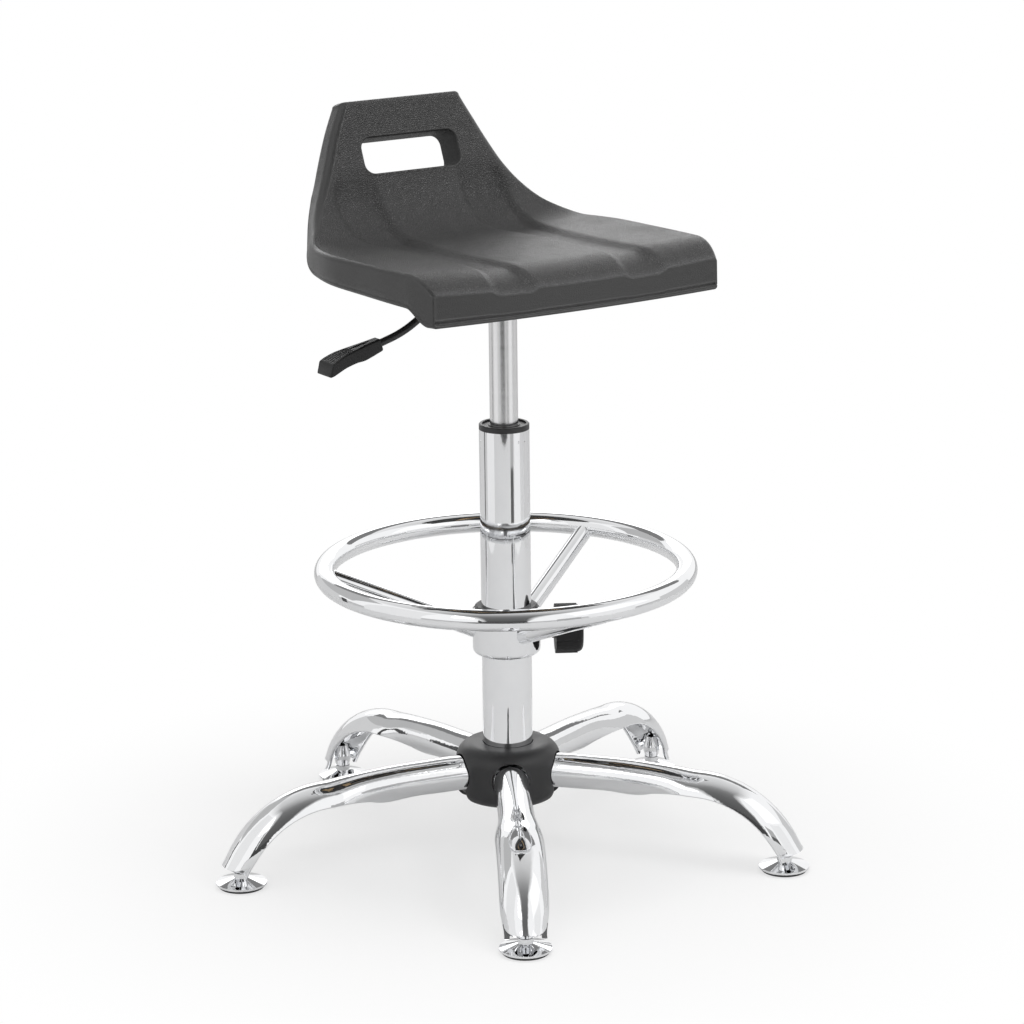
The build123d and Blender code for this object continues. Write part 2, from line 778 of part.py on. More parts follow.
with BuildPart() as clamp_knob:
    with BuildSketch(outward_plane(clamp_angle, knob_inner, clamp_height)):
        Circle(knob_radius)
        with PolarLocations(knob_radius + knob_flute_radius - knob_flute_depth, knob_flutes):
            Circle(knob_flute_radius, mode=Mode.SUBTRACT)
    extrude(amount=knob_outer - knob_inner)
    with BuildSketch(outward_plane(clamp_angle, knob_outer - knob_round, clamp_height)):
        Circle(knob_radius + overrun)
        Circle(knob_radius - knob_round, mode=Mode.SUBTRACT)
    extrude(amount=knob_round + overrun, mode=Mode.SUBTRACT)
    with BuildSketch(upright_plane(clamp_angle)):
        with BuildLine():
            Polyline(
                (knob_outer - knob_round, clamp_height),
                (knob_outer, clamp_height),
                (knob_outer, clamp_height + knob_radius - knob_round - knob_flute_depth),
            )
            RadiusArc(
                (knob_outer, clamp_height + knob_radius - knob_round - knob_flute_depth),
                (knob_outer - knob_round, clamp_height + knob_radius - knob_flute_depth),
                -knob_round,
            )
            Line(
                (knob_outer - knob_round, clamp_height + knob_radius - knob_flute_depth),
                (knob_outer - knob_round, clamp_height),
            )
        make_face()
    revolve(axis=Axis(polar(knob_outer, clamp_angle, clamp_height), polar(1, clamp_angle, 0)))
    with BuildSketch(outward_plane(clamp_angle, knob_boss_start, clamp_height)):
        Circle(knob_boss_radius)
    extrude(amount=knob_boss_length)
    with BuildSketch(outward_plane(clamp_angle, knob_boss_start, clamp_height)):
        Circle(screw_radius)
    extrude(amount=2 * knob_boss_length, mode=Mode.SUBTRACT)
finish_part(clamp_knob, "clamp_knob")


# Seat: profile line of the sitting surface from the front lip, through the bend, to the top of the back
seat_lip_start_height = seat_under + seat_lip_rise
lip_edge_height = seat_under + lip_edge_rise
lip_bottom = seat_under - lip_drop


def seat_line_height(depth_place):
    """Height of the straight part of the sitting surface at a place along Y."""
    return seat_lip_start_height - (depth_place - seat_lip_start) * tan(radians(seat_tilt))


def bend_point(turn, sink):
    """Point on the bend below the back, sunk under the surface by the given depth."""
    start_height = seat_line_height(seat_bend_start)
    middle_y = seat_bend_start + seat_bend_radius * sin(radians(seat_tilt))
    middle_z = start_height + seat_bend_radius * cos(radians(seat_tilt))
    reach = seat_bend_radius + sink
    return (middle_y + reach * sin(radians(turn)), middle_z - reach * cos(radians(turn)))


def back_point(turn, sink):
    """Point on the long curve of the back, sunk under the surface by the given depth."""
    start_y, start_z = bend_point(seat_bend_angle, 0)
    middle_y = start_y - back_radius * sin(radians(seat_bend_angle))
    middle_z = start_z + back_radius * cos(radians(seat_bend_angle))
    reach = back_radius + sink
    return (middle_y + reach * sin(radians(turn)), middle_z - reach * cos(radians(turn)))


def across_plane(place, turn):
    """Plane across the profile line: first axis is +X, second axis points out of the sitting surface."""
    return Plane(origin=(0, *place), x_dir=(1, 0, 0), z_dir=(0, -cos(radians(turn)), -sin(radians(turn))))


def seat_section(plane, half_width, thickness, front_round, rear_round):
    """Rounded cross-section of the seat or back."""
    front_bow = front_round * (1 - cos(radians(45)))
    rear_bow = rear_round * (1 - cos(radians(45)))
    low = -thickness
    with BuildSketch(plane) as section:
        with BuildLine():
            Line((front_round - half_width, 0), (half_width - front_round, 0))
            ThreePointArc(
                (half_width - front_round, 0),
                (half_width - front_bow, -front_bow),
                (half_width, -front_round),
            )
            Line((half_width, -front_round), (half_width, low + rear_round))
            ThreePointArc(
                (half_width, low + rear_round),
                (half_width - rear_bow, low + rear_bow),
                (half_width - rear_round, low),
            )
            Line((half_width - rear_round, low), (rear_round - half_width, low))
            ThreePointArc(
                (rear_round - half_width, low),
                (rear_bow - half_width, low + rear_bow),
                (-half_width, low + rear_round),
            )
            Line((-half_width, low + rear_round), (-half_width, -front_round))
            ThreePointArc(
                (-half_width, -front_round),
                (front_bow - half_width, -front_bow),
                (front_round - half_width, 0),
            )
        make_face()
    return section.sketch


def flat_station(depth_place, half_width):
    """Section of the level part of the seat, cut off below at one height."""
    place = (depth_place, seat_line_height(depth_place))
    thickness = (place[1] - seat_under) / cos(radians(seat_tilt))
    return seat_section(across_plane(place, -seat_tilt), half_width, thickness, seat_edge_round, seat_edge_round)


seat_flank = seat_bend_start / 2
bend_middle_turn = seat_bend_angle / 2
seat_bend_thickness = (seat_line_height(seat_bend_start) - seat_under) / cos(radians(seat_tilt))
flat_sections = [
    flat_station(seat_lip_start, seat_half_width),
    flat_station(0, seat_middle_half_width),
    flat_station(seat_flank, seat_flank_half_width),
    flat_station(seat_bend_start, bend_half_widths[0]),
]
back_sections = [flat_station(seat_bend_start, bend_half_widths[0])]
bend_steps = len(bend_half_widths) - 1
for bend_step in range(1, bend_steps + 1):
    share = bend_step / bend_steps
    bend_turn = share * seat_bend_angle - (1 - share) * seat_tilt
    back_sections.append(
        seat_section(
            across_plane(bend_point(bend_turn, 0), bend_turn),
            bend_half_widths[bend_step],
            seat_bend_thickness + share * (back_thickness - seat_bend_thickness),
            seat_edge_round + share * (back_front_round - seat_edge_round),
            seat_edge_round + share * (back_rear_round - seat_edge_round),
        )
    )
for back_turn, back_half_width in zip(back_turns, back_half_widths):
    share = (back_turn - seat_bend_angle) / (back_turns[-1] - seat_bend_angle)
    back_sections.append(
        seat_section(
            across_plane(back_point(back_turn, 0), back_turn),
            back_half_width,
            back_thickness + share * (back_top_thickness - back_thickness),
            back_front_round,
            back_rear_round,
        )
    )


def seat_sink(side):
    """How deep the sitting surface lies below its side edges: a shallow dish with two thigh channels."""
    dish = seat_dish * (1 - (side / dish_half_width) ** 2)
    if abs(abs(side) - channel_center) <= channel_half_width:
        dish += channel_depth
    return dish


def seat_cut_section(side, sink):
    """Space in front of and above the seat at one distance from the middle."""
    front = seat_front_corner - seat_front_bulge * (1 - (side / seat_half_width) ** 2)
    lip_top = (front, lip_edge_height - sink)
    lip_start = (seat_lip_start, seat_line_height(seat_lip_start) - sink)
    forward = (-cos(radians(seat_tilt)), sin(radians(seat_tilt)))
    bend_start = (seat_bend_start, seat_line_height(seat_bend_start) - sink)
    bend_end = bend_point(seat_bend_angle, sink)
    fade_middle = back_point((seat_bend_angle + channel_fade_angle) / 2, sink / 2 - clear_gap)
    fade_end = back_point(channel_fade_angle, -clear_gap)
    far_front = front - seat_edge_round * 4
    far_top = fade_end[1] + seat_edge_round
    with BuildSketch(Plane.YZ.offset(side)) as section:
        with BuildLine():
            Line((front, lip_bottom - overrun), lip_top)
            TangentArc(lip_start, lip_top, tangent=forward)
            Line(lip_start, bend_start)
            ThreePointArc(bend_start, bend_point(bend_middle_turn, sink), bend_end)
            ThreePointArc(bend_end, fade_middle, fade_end)
            Polyline(
                fade_end,
                (seat_bend_start, far_top),
                (far_front, far_top),
                (far_front, lip_bottom - overrun),
                (front, lip_bottom - overrun),
            )
        make_face()
    return section.sketch


channel_inner = channel_center - channel_half_width
channel_outer = channel_center + channel_half_width
channel_sides = (channel_inner - channel_slope, channel_inner, channel_outer, channel_outer + channel_slope)
right_stations = [(side, seat_sink(side)) for side in channel_sides]
edge_stations = [(dish_half_width, -clear_gap), (seat_middle_half_width + overrun, -clear_gap)]
left_stations = [(-side, sink) for side, sink in reversed(right_stations + edge_stations)]
cut_stations = left_stations + [(0, seat_sink(0))] + right_stations + edge_stations

bolt_spots = [(-bolt_x, -bolt_y), (bolt_x, -bolt_y), (bolt_x, bolt_y), (-bolt_x, bolt_y)]
insert_top = seat_under + insert_height
nut_plate_top = insert_top + nut_plate_height
bolt_top = nut_plate_top + overrun
slot_place = back_point(slot_middle_angle, -back_front_round)
lip_back = seat_front_corner + lip_bottom_depth
with BuildPart() as seat_cushion:
    loft(sections=flat_sections, ruled=True)
    loft(sections=back_sections)
    block_front = seat_front_corner - 2 * seat_front_bulge
    block_top = seat_line_height(block_front)
    joint_back = seat_lip_start - (seat_lip_start_height - seat_under) * tan(radians(seat_tilt))
    with BuildSketch(Plane.YZ):
        with BuildLine():
            Polyline(
                (seat_lip_start, seat_lip_start_height),
                (block_front, block_top),
                (block_front, lip_bottom),
                (lip_back, lip_bottom),
            )
            ThreePointArc(
                (lip_back, lip_bottom),
                (0.55 * lip_back + 0.45 * joint_back, 0.65 * lip_bottom + 0.35 * seat_under),
                (joint_back, seat_under),
            )
            Line((joint_back, seat_under), (seat_lip_start, seat_lip_start_height))
        make_face()
    extrude(amount=seat_half_width, both=True)
    loft(sections=[seat_cut_section(side, sink) for side, sink in cut_stations], ruled=True, mode=Mode.SUBTRACT)
    with BuildSketch(across_plane(slot_place, slot_middle_angle - 90)):
        RectangleRounded(2 * slot_half_width, 2 * slot_half_height, slot_round)
    extrude(amount=-3 * back_thickness, taper=slot_draft, mode=Mode.SUBTRACT)
    with BuildSketch(Plane.XY.offset(seat_under - overrun)):
        RectangleRounded(2 * insert_half_width, 2 * insert_half_depth, insert_round)
    extrude(amount=insert_height + overrun, mode=Mode.SUBTRACT)
    with BuildSketch(Plane.XY.offset(insert_top)):
        with Locations(*bolt_spots):
            Circle(nut_plate_radius)
    extrude(amount=nut_plate_height, mode=Mode.SUBTRACT)
    with BuildSketch(Plane.XY.offset(nut_plate_top)):
        with Locations(*bolt_spots):
            Circle(bolt_radius + clear_gap)
    extrude(amount=overrun + bolt_end_gap, mode=Mode.SUBTRACT)
finish_part(seat_cushion, "seat_cushion")

# Plywood insert, nut plates, bolts and washers that join the seat to the steel tray
with BuildPart() as seat_insert:
    with BuildSketch(Plane.XY.offset(seat_under)):
        RectangleRounded(2 * insert_half_width, 2 * insert_half_depth, insert_round)
        with Locations(*bolt_spots):
            Circle(bolt_radius, mode=Mode.SUBTRACT)
    extrude(amount=insert_height)
finish_part(seat_insert, "seat_insert")

with BuildPart() as seat_nut_plates:
    with BuildSketch(Plane.XY.offset(insert_top)):
        with Locations(*bolt_spots):
            Circle(nut_plate_radius)
            Circle(bolt_radius, mode=Mode.SUBTRACT)
    extrude(amount=nut_plate_height)
finish_part(seat_nut_plates, "seat_nut_plates")

flange_bottom = seat_under - flange_height
bolt_washer_bottom = flange_bottom - bolt_washer_height
with BuildPart() as seat_bolts:
    with BuildSketch(Plane.XY.offset(bolt_washer_bottom - bolt_head_height)):
        with Locations(*bolt_spots):
            Circle(bolt_head_radius)
            RegularPolygon(bolt_radius, 6, mode=Mode.SUBTRACT)
    extrude(amount=bolt_head_height)
    with BuildSketch(Plane.XY.offset(bolt_washer_bottom - bolt_head_height / 2)):
        with Locations(*bolt_spots):
            Circle(bolt_radius)
    extrude(amount=bolt_top - bolt_washer_bottom + bolt_head_height / 2)
finish_part(seat_bolts, "seat_bolts")

with BuildPart() as seat_washers:
    with BuildSketch(Plane.XY.offset(bolt_washer_bottom)):
        with Locations(*bolt_spots):
            Circle(bolt_washer_radius)
            Circle(bolt_radius, mode=Mode.SUBTRACT)
    extrude(amount=bolt_washer_height)
finish_part(seat_washers, "seat_washers")

lever_height = release_pin_top + clear_gap + lever_radius
tray_bottom = seat_under - tray_depth
with BuildPart() as seat_tray:
    with BuildSketch(Plane.XY.offset(flange_bottom)):
        RectangleRounded(2 * flange_half_width, 2 * flange_half_depth, flange_round)
        with Locations(*bolt_spots):
            Circle(bolt_radius, mode=Mode.SUBTRACT)
    extrude(amount=flange_height)
    with BuildSketch(Plane.XY.offset(tray_bottom)):
        RectangleRounded(2 * tray_half_width, 2 * tray_half_depth, tray_round)
    extrude(amount=flange_bottom - tray_bottom)
    with BuildSketch(Plane.XY.offset(tray_bottom + tray_wall)):
        RectangleRounded(
            2 * (tray_half_width - tray_wall), 2 * (tray_half_depth - tray_wall), tray_round - tray_wall
        )
    extrude(amount=flange_bottom - tray_bottom - tray_wall, mode=Mode.SUBTRACT)
    with BuildSketch(Plane.XY.offset(tray_bottom - overrun)):
        Circle(socket_outer_radius)
    extrude(amount=tray_wall + 2 * overrun, mode=Mode.SUBTRACT)
    with BuildSketch(Plane.YZ.offset(-tray_half_width - overrun)):
        with Locations((0, flange_bottom - lever_exit_height / 2)):
            Rectangle(2 * lever_exit_half_width, lever_exit_height)
    extrude(amount=tray_wall + 2 * overrun, mode=Mode.SUBTRACT)
finish_part(seat_tray, "seat_tray")

with BuildPart() as taper_socket:
    with BuildSketch(Plane.XZ):
        Polygon(
            (lift_radius, socket_bottom),
            (socket_outer_radius, socket_bottom),
            (socket_outer_radius, lift_top),
            (lift_radius - lift_taper, lift_top),
            align=None,
        )
    revolve(axis=Axis.Z)
finish_part(taper_socket, "taper_socket")

# Lever: bent rod with a pivot block and a plastic grip
bracket_inner = lever_block / 2 + clear_gap
bracket_outer = bracket_inner + bracket_wall
with BuildPart() as lever_bracket:
    for bracket_start in (bracket_inner, -bracket_outer):
        with BuildSketch(Plane.XZ.offset(-bracket_start)):
            with Locations((lever_pivot_x, flange_bottom - bracket_drop / 2)):
                Rectangle(2 * bracket_half_length, bracket_drop)
            with Locations((lever_pivot_x, lever_height)):
                Circle(trunnion_radius + fit_gap, mode=Mode.SUBTRACT)
        extrude(amount=-bracket_wall)
finish_part(lever_bracket, "lever_bracket")

with BuildPart() as lever_pivot:
    with BuildSketch(Plane.XZ.offset(-lever_block / 2)):
        with Locations((lever_pivot_x, lever_height)):
            Rectangle(lever_block, lever_block)
    extrude(amount=lever_block)
    with BuildSketch(Plane.XZ.offset(-bracket_outer)):
        with Locations((lever_pivot_x, lever_height)):
            Circle(trunnion_radius)
    extrude(amount=2 * bracket_outer)
    with BuildSketch(Plane.YZ.offset(lever_pivot_x - lever_block)):
        with Locations((0, lever_height)):
            Circle(lever_radius)
    extrude(amount=2 * lever_block, mode=Mode.SUBTRACT)
finish_part(lever_pivot, "lever_pivot")

grip_fall = tan(radians(grip_slope))
lever_second_height = lever_height - lever_fall
grip_root_height = lever_second_height + (grip_root_x - lever_second_bend) * grip_fall
rod_end_x = grip_root_x - grip_rod_depth * cos(radians(grip_slope))
rod_end_height = grip_root_height - grip_rod_depth * sin(radians(grip_slope))
with BuildPart() as lever_rod:
    with BuildLine() as rod_path:
        FilletPolyline(
            (lever_inner_end, 0, lever_height),
            (lever_first_bend, 0, lever_height),
            (lever_second_bend, 0, lever_second_height),
            (rod_end_x, 0, rod_end_height),
            radius=(lever_first_radius, lever_second_radius),
        )
    with BuildSketch(Plane.YZ.offset(lever_inner_end)):
        with Locations((0, lever_height)):
            Circle(lever_radius)
    sweep()
finish_part(lever_rod, "lever_rod")

grip_direction = Vector(-cos(radians(grip_slope)), 0, -sin(radians(grip_slope)))
grip_root = Plane(origin=(grip_root_x, 0, grip_root_height), x_dir=(0, -1, 0), z_dir=grip_direction)
with BuildPart() as lever_grip:
    with BuildSketch(grip_root):
        RectangleRounded(2 * grip_root_half_width, grip_root_thickness, grip_round)
    with BuildSketch(grip_root.offset(grip_length)):
        RectangleRounded(2 * grip_end_half_width, grip_end_thickness, grip_round)
    loft()
    with BuildSketch(grip_root):
        Circle(lever_radius)
    extrude(amount=grip_rod_depth, mode=Mode.SUBTRACT)
finish_part(lever_grip, "lever_grip")
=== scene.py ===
import json
from math import atan2, cos, hypot, pi, radians, sin, tan

import bmesh
import bpy
from mathutils import Matrix, Vector


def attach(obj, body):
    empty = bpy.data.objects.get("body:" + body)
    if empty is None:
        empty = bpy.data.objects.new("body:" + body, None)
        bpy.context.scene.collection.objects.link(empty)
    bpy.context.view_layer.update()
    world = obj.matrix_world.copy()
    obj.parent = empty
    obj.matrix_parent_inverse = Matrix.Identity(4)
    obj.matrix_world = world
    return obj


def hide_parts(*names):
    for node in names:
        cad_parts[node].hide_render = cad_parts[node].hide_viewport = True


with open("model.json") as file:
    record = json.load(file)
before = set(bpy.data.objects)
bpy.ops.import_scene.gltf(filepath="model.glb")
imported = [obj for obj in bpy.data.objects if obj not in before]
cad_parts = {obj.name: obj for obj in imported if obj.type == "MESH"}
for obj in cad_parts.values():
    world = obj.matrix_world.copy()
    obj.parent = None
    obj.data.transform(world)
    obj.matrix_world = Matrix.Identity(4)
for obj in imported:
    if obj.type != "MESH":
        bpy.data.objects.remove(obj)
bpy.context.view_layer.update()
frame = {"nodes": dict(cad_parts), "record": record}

nodes = frame["nodes"]
MM = 0.001


def smooth_step(low, high, value):
    """0 below low, 1 above high, with a soft change between."""
    share = min(1.0, max(0.0, (value - low) / (high - low)))
    return share * share * (3 - 2 * share)


def blend_table(table, value):
    """Value between the rows of a short table of (place, value), on a smooth line through the rows."""
    if value <= table[0][0]:
        return table[0][1]
    if value >= table[-1][0]:
        return table[-1][1]
    ends = ((table[0], table[1]), *zip(table, table[2:]), (table[-2], table[-1]))
    slopes = [(value_b - value_a) / (place_b - place_a) for (place_a, value_a), (place_b, value_b) in ends]
    for row in range(len(table) - 1):
        (place_a, value_a), (place_b, value_b) = table[row], table[row + 1]
        if value <= place_b:
            run = place_b - place_a
            t = (value - place_a) / run
            bow = t * (1 - t) ** 2 * run * slopes[row] - t ** 2 * (1 - t) * run * slopes[row + 1]
            return value_a + (value_b - value_a) * t * t * (3 - 2 * t) + bow
    return table[-1][1]


def new_piece(name, points, faces, body):
    """Mesh piece from points in millimetres, with outward normals, riding on a body."""
    mesh = bpy.data.meshes.new(name)
    mesh.from_pydata([(x * MM, y * MM, z * MM) for x, y, z in points], [], faces)
    form = bmesh.new()
    form.from_mesh(mesh)
    bmesh.ops.recalc_face_normals(form, faces=form.faces)
    form.to_mesh(mesh)
    form.free()
    mesh.shade_smooth()
    piece = bpy.data.objects.new(name, mesh)
    bpy.context.scene.collection.objects.link(piece)
    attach(piece, body)
    return piece


# Seat sizes in millimetres; the channels, the hand slot and the lip are a little finer than those of its solid
seat_under = 594.5
seat_half_width = 164.0
seat_corner_half_width = 161.8
seat_front_corner = -133.4
seat_front_bulge = 9.0
lip_start = -95.0
lip_start_height = seat_under + 33.7
lip_edge_height = seat_under + 18.5
lip_bottom = seat_under - 13.4
lip_back = seat_front_corner + 9.0
seat_tilt = radians(1.6)
bend_start = 82.3
bend_radius = 79.4
bend_angle = radians(62.9)
back_radius = 339.6
back_top_angle = radians(77.9)
dish_depth = 3.4
dish_half_width = 150.0
dish_margin = 13.0          # run-out of the dish and the channels at the side edges
channel_center = 74.0
channel_slope = 11.0
channel_fade_share = 0.70   # share of the bend where the channels start to fade
channel_end_gap = 8.0       # from the middle of the hand slot
lip_round = 4.6
lip_under_round = 3.4
lip_edge_setback = 1.1
lip_narrowing = 1.6
lip_corner_share = 0.68     # share of the lip's underside that is the soft S
front_rim_round = 3.2
front_rim_turn = radians(42)
slot_angle = radians(67.7)
slot_half_width = 55.5
slot_half_height = 18.1
slot_round = 10.5
slot_rim = 2.4
slot_influence = 22.0       # how far from the hand slot the rows of points bend round it
slot_side_draft = tan(radians(7.5))
slot_level_draft = tan(radians(1.0))
top_rise = 4.4
top_sink = 7.5
top_clearance = 4.0
board_half_width = 92.0
board_half_depth = 66.0
board_top = seat_under + 8.0
bolt_top = board_top + 5.0
bolt_x = 62.0
bolt_y = 50.0
board_margin = 4.4
board_gap = 0.4
bolt_pocket_radius = 15.5
bolt_gap = 0.6
groove_inset = 0.45         # parting groove round the side edge
groove_lines = (1.05, 0.65, 0.2)
groove_top = 1.5

bend_length = bend_radius * (bend_angle + seat_tilt)
back_length = back_radius * (back_top_angle - bend_angle)
slot_place = bend_length + back_radius * (slot_angle - bend_angle)
bend_start_height = lip_start_height - (bend_start - lip_start) * tan(seat_tilt)
bend_mid_y = bend_start + bend_radius * sin(seat_tilt)
bend_mid_z = bend_start_height + bend_radius * cos(seat_tilt)
back_mid_y = bend_mid_y + (bend_radius - back_radius) * sin(bend_angle)
back_mid_z = bend_mid_z - (bend_radius - back_radius) * cos(bend_angle)
joint_back = lip_start - 0.9

# Half width of the seat, its channels, edge roundings and thickness, each by the distance along the sitting
# surface from where the bend starts: below 0 on the flat, above 0 up the back
half_width_table = (
    (-177.0, 168.0), (-140.0, 169.4), (-100.0, 169.9), (-66.0, 170.4), (-50.0, 170.2), (-33.0, 168.7),
    (-11.0, 164.6), (9.0, 159.0), (24.0, 153.2), (36.0, 146.2), (46.0, 139.0), (56.0, 132.4), (65.0, 126.8),
    (75.0, 120.4), (87.0, 112.6), (100.0, 105.0), (116.0, 97.2), (132.0, 89.6), (148.0, 81.9), (164.0, 73.4),
    (180.0, 64.7),
)
channel_depth_table = ((-216.0, 4.0), (-110.0, 4.2), (-40.0, 4.8), (10.0, 6.2), (60.0, 6.2))
channel_width_table = (
    (-216.0, 27.0), (-177.0, 22.5), (-117.0, 19.0), (-62.0, 20.5), (-20.0, 24.5), (10.0, 27.5), (60.0, 29.5),
)
front_round_table = ((-40.0, 4.6), (20.0, 5.5), (70.0, 8.5), (150.0, 8.5), (180.0, 6.5))
rear_round_table = ((-40.0, 3.4), (10.0, 3.8), (60.0, 7.0), (180.0, 7.0))
thickness_table = ((0.0, bend_start_height - seat_under), (bend_length, 31.0), (180.0, 25.0))


def profile(way):
    """Place (y, z) and lean of the sitting surface at a distance along it from where the bend starts."""
    if way <= 0:
        return bend_start + way * cos(seat_tilt), bend_start_height - way * sin(seat_tilt), -seat_tilt
    if way <= bend_length:
        turn = way / bend_radius - seat_tilt
        return bend_mid_y + bend_radius * sin(turn), bend_mid_z - bend_radius * cos(turn), turn
    turn = bend_angle + (way - bend_length) / back_radius
    return back_mid_y + back_radius * sin(turn), back_mid_z - back_radius * cos(turn), turn


def lip_half_width(share):
    """Half width of the rolled front, from where the roll starts (0) to the front edge (1)."""
    start = half_width_table[0][1]
    return start + (seat_corner_half_width - start) * share ** lip_narrowing


def front_edge(x):
    """Depth of the bowed front edge at a place across the seat."""
    return seat_front_corner - seat_front_bulge * (1 - (x / seat_half_width) ** 2)


def channel_share(x, way):
    """1 in the floor of a thigh channel, 0 outside; the channels are narrowest half way along the seat."""
    away = abs(abs(x) - channel_center)
    crest = blend_table(channel_width_table, way)
    return 1 - smooth_step(crest - channel_slope, crest, away)


def seat_sink(x, way, half_run):
    """How far the sitting surface lies below the line of its edges."""
    fade = 1 - smooth_step(bend_length * channel_fade_share, slot_place - channel_end_gap, way)
    dish = dish_depth * max(0.0, 1 - (x / dish_half_width) ** 2)
    rim = smooth_step(0.0, dish_margin, half_run - abs(x))
    return fade * rim * (dish + blend_table(channel_depth_table, way) * channel_share(x, way))


def lip_arc(x, share):
    """Point on the rolled front of the seat, from where the roll starts (0) to the front edge (1)."""
    half_run = lip_half_width(share) - lip_round
    sink = seat_sink(x, lip_start - bend_start - share * (lip_start - seat_front_corner), half_run)
    start_y, start_z = lip_start, lip_start_height - sink
    edge_y = front_edge(x) + lip_edge_setback
    edge_z = lip_edge_height - sink
    run, fall = start_y - edge_y, start_z - edge_z
    chord = hypot(run, fall)
    half_turn = atan2(fall, run) + seat_tilt
    radius = chord / (2 * sin(half_turn))
    turn = 2 * half_turn * share
    y = start_y - radius * (sin(turn - seat_tilt) + sin(seat_tilt))
    z = start_z - radius * (cos(seat_tilt) - cos(turn - seat_tilt))
    return y, z, turn - seat_tilt


def lip_underside(x, share):
    """Point under the rolled front, from the flat underside (0) to the bottom of the front face (1)."""
    if share < lip_corner_share:
        turn = share / lip_corner_share
        # soft S from the flat underside down to the lip
        y = joint_back + (lip_back - joint_back) * turn
        z = seat_under + (lip_bottom - seat_under) * (0.35 * turn + 0.65 * smooth_step(0, 1, turn))
        return y, z
    rest = (share - lip_corner_share) / (1 - lip_corner_share)
    return lip_back + (front_edge(x) - lip_back) * rest, lip_bottom


def underside_height(x, y):
    """Height of the flat underside, with the pocket for the plywood board and its bolts."""
    if abs(x) > board_half_width + board_margin or abs(y) > board_half_depth + board_margin:
        return seat_under
    if hypot(abs(x) - bolt_x, abs(y) - bolt_y) < bolt_pocket_radius:
        return bolt_top + bolt_gap
    return board_top + board_gap


# Columns across the seat: even in the middle, where the slot is, then spread to the edge
slot_run = slot_half_width + slot_rim
slot_rise = slot_half_height + slot_rim
inner_columns = 20
outer_columns = 42
columns = range(-inner_columns - outer_columns, inner_columns + outer_columns + 1)


def column_x(column, half_run, inner_run):
    """Place across the seat of one column of points."""
    if abs(column) <= inner_columns:
        return inner_run * column / inner_columns
    share = (abs(column) - inner_columns) / outer_columns
    x = inner_run + (half_run - inner_run) * share
    return x if column > 0 else -x


def rounded_frame(u, v, half_w, half_h, corner):
    """Warp of a rectangle's edge to one with round corners: place on it for a point (u, v) on the sharp one."""
    reach = 2.0 * corner
    quarter = corner * pi / 4
    du, dv = half_w - abs(u), half_h - abs(v)
    sign_u = 1 if u >= 0 else -1
    sign_v = 1 if v >= 0 else -1
    if corner < 0.01 or min(half_w, half_h) < corner or max(du, dv) >= reach:
        return u, v
    on_side = du <= dv
    away = dv if on_side else du
    length = (reach - away) / reach * (reach - corner + quarter)
    if length <= reach - corner:
        x, y = half_w, half_h - reach + length
    else:
        turn = (length - (reach - corner)) / corner
        x = half_w - corner + corner * cos(turn)
        y = half_h - corner + corner * sin(turn)
    if not on_side:
        x, y = half_w - (half_h - y), half_h - (half_w - x)
    return sign_u * x, sign_v * y


def slot_warp(x, rise, half_w, half_h, corner):
    """Moves surface points near the slot so that its edge gets round corners and the wanted size."""
    level = max(abs(x) - slot_run, abs(rise) - slot_rise)
    if level > slot_influence or level < -1e-6:
        return x, rise
    share = smooth_step(0.0, slot_influence, level)
    goal_w = half_w + level + share * (slot_run - half_w)
    goal_h = half_h + level + share * (slot_rise - half_h)
    u = x * goal_w / (slot_run + level)
    v = rise * goal_h / (slot_rise + level)
    return rounded_frame(u, v, goal_w, goal_h, corner * (1 - share))


# Rows along the seat: front roll, flat, bend, back
lip_count, flat_count, bend_count, low_count, slot_count, high_count = 16, 44, 26, 4, 18, 10
lip_rows = [1 - row / lip_count for row in range(lip_count)]
flat_ways = [(lip_start - bend_start) / cos(seat_tilt) * (1 - row / flat_count) for row in range(flat_count)]
bend_ways = [bend_length * row / bend_count for row in range(bend_count)]
low_back = slot_place - slot_rise - bend_length
low_ways = [bend_length + low_back * row / low_count for row in range(low_count)]
slot_ways = [slot_place - slot_rise + 2 * slot_rise * row / slot_count for row in range(slot_count)]
top_back = bend_length + back_length - top_clearance - top_rise - (slot_place + slot_rise)
top_ways = [slot_place + slot_rise + top_back * row / high_count for row in range(high_count + 1)]
ways = flat_ways + bend_ways + low_ways + slot_ways + top_ways
slot_first = len(lip_rows) + len(flat_ways) + len(bend_ways) + len(low_ways)
slot_last = slot_first + len(slot_ways)
arc_steps = 7
side_steps = 5
front_rim_steps = 6
top_rim_steps = 8
slot_rim_steps = 4
slot_wall_steps = 5
edge_grain = 0.2            # depth of the grain on smooth edges, of 1 on the sitting surface
highlight_rows = 3             # rows on either side of the front edge that get a painted highlight, a paler tint


def seat_row(row):
    """Half width, roundings and the two surface functions of one row of points."""
    if row < len(lip_rows):
        share = lip_rows[row]
        return (
            lip_half_width(share), lip_round, lip_under_round,
            lambda x: lip_arc(x, share)[:2],
            lambda x: lip_underside(x, share),
        )
    way = ways[row - len(lip_rows)]
    half_width = blend_table(half_width_table, way)
    front_round = blend_table(front_round_table, way)
    rear_round = blend_table(rear_round_table, way)
    if way <= 0:
        y, z, _ = profile(way)
        under_y = y + (joint_back - lip_start) * way / (bend_start - lip_start)

        def top(x):
            return y, z - seat_sink(x, way, half_width - front_round)

        def under(x):
            return under_y, underside_height(x, under_y)

        return half_width, front_round, rear_round, top, under

    def top(x, at=way):
        y, z, turn = profile(at)
        sink = seat_sink(x, at, half_width - front_round)
        return y + sink * sin(turn), z - sink * cos(turn)

    def under(x, at=way):
        y, z, turn = profile(at)
        thickness = blend_table(thickness_table, at)
        return y + thickness * sin(turn), z - thickness * cos(turn)

    return half_width, front_round, rear_round, top, under


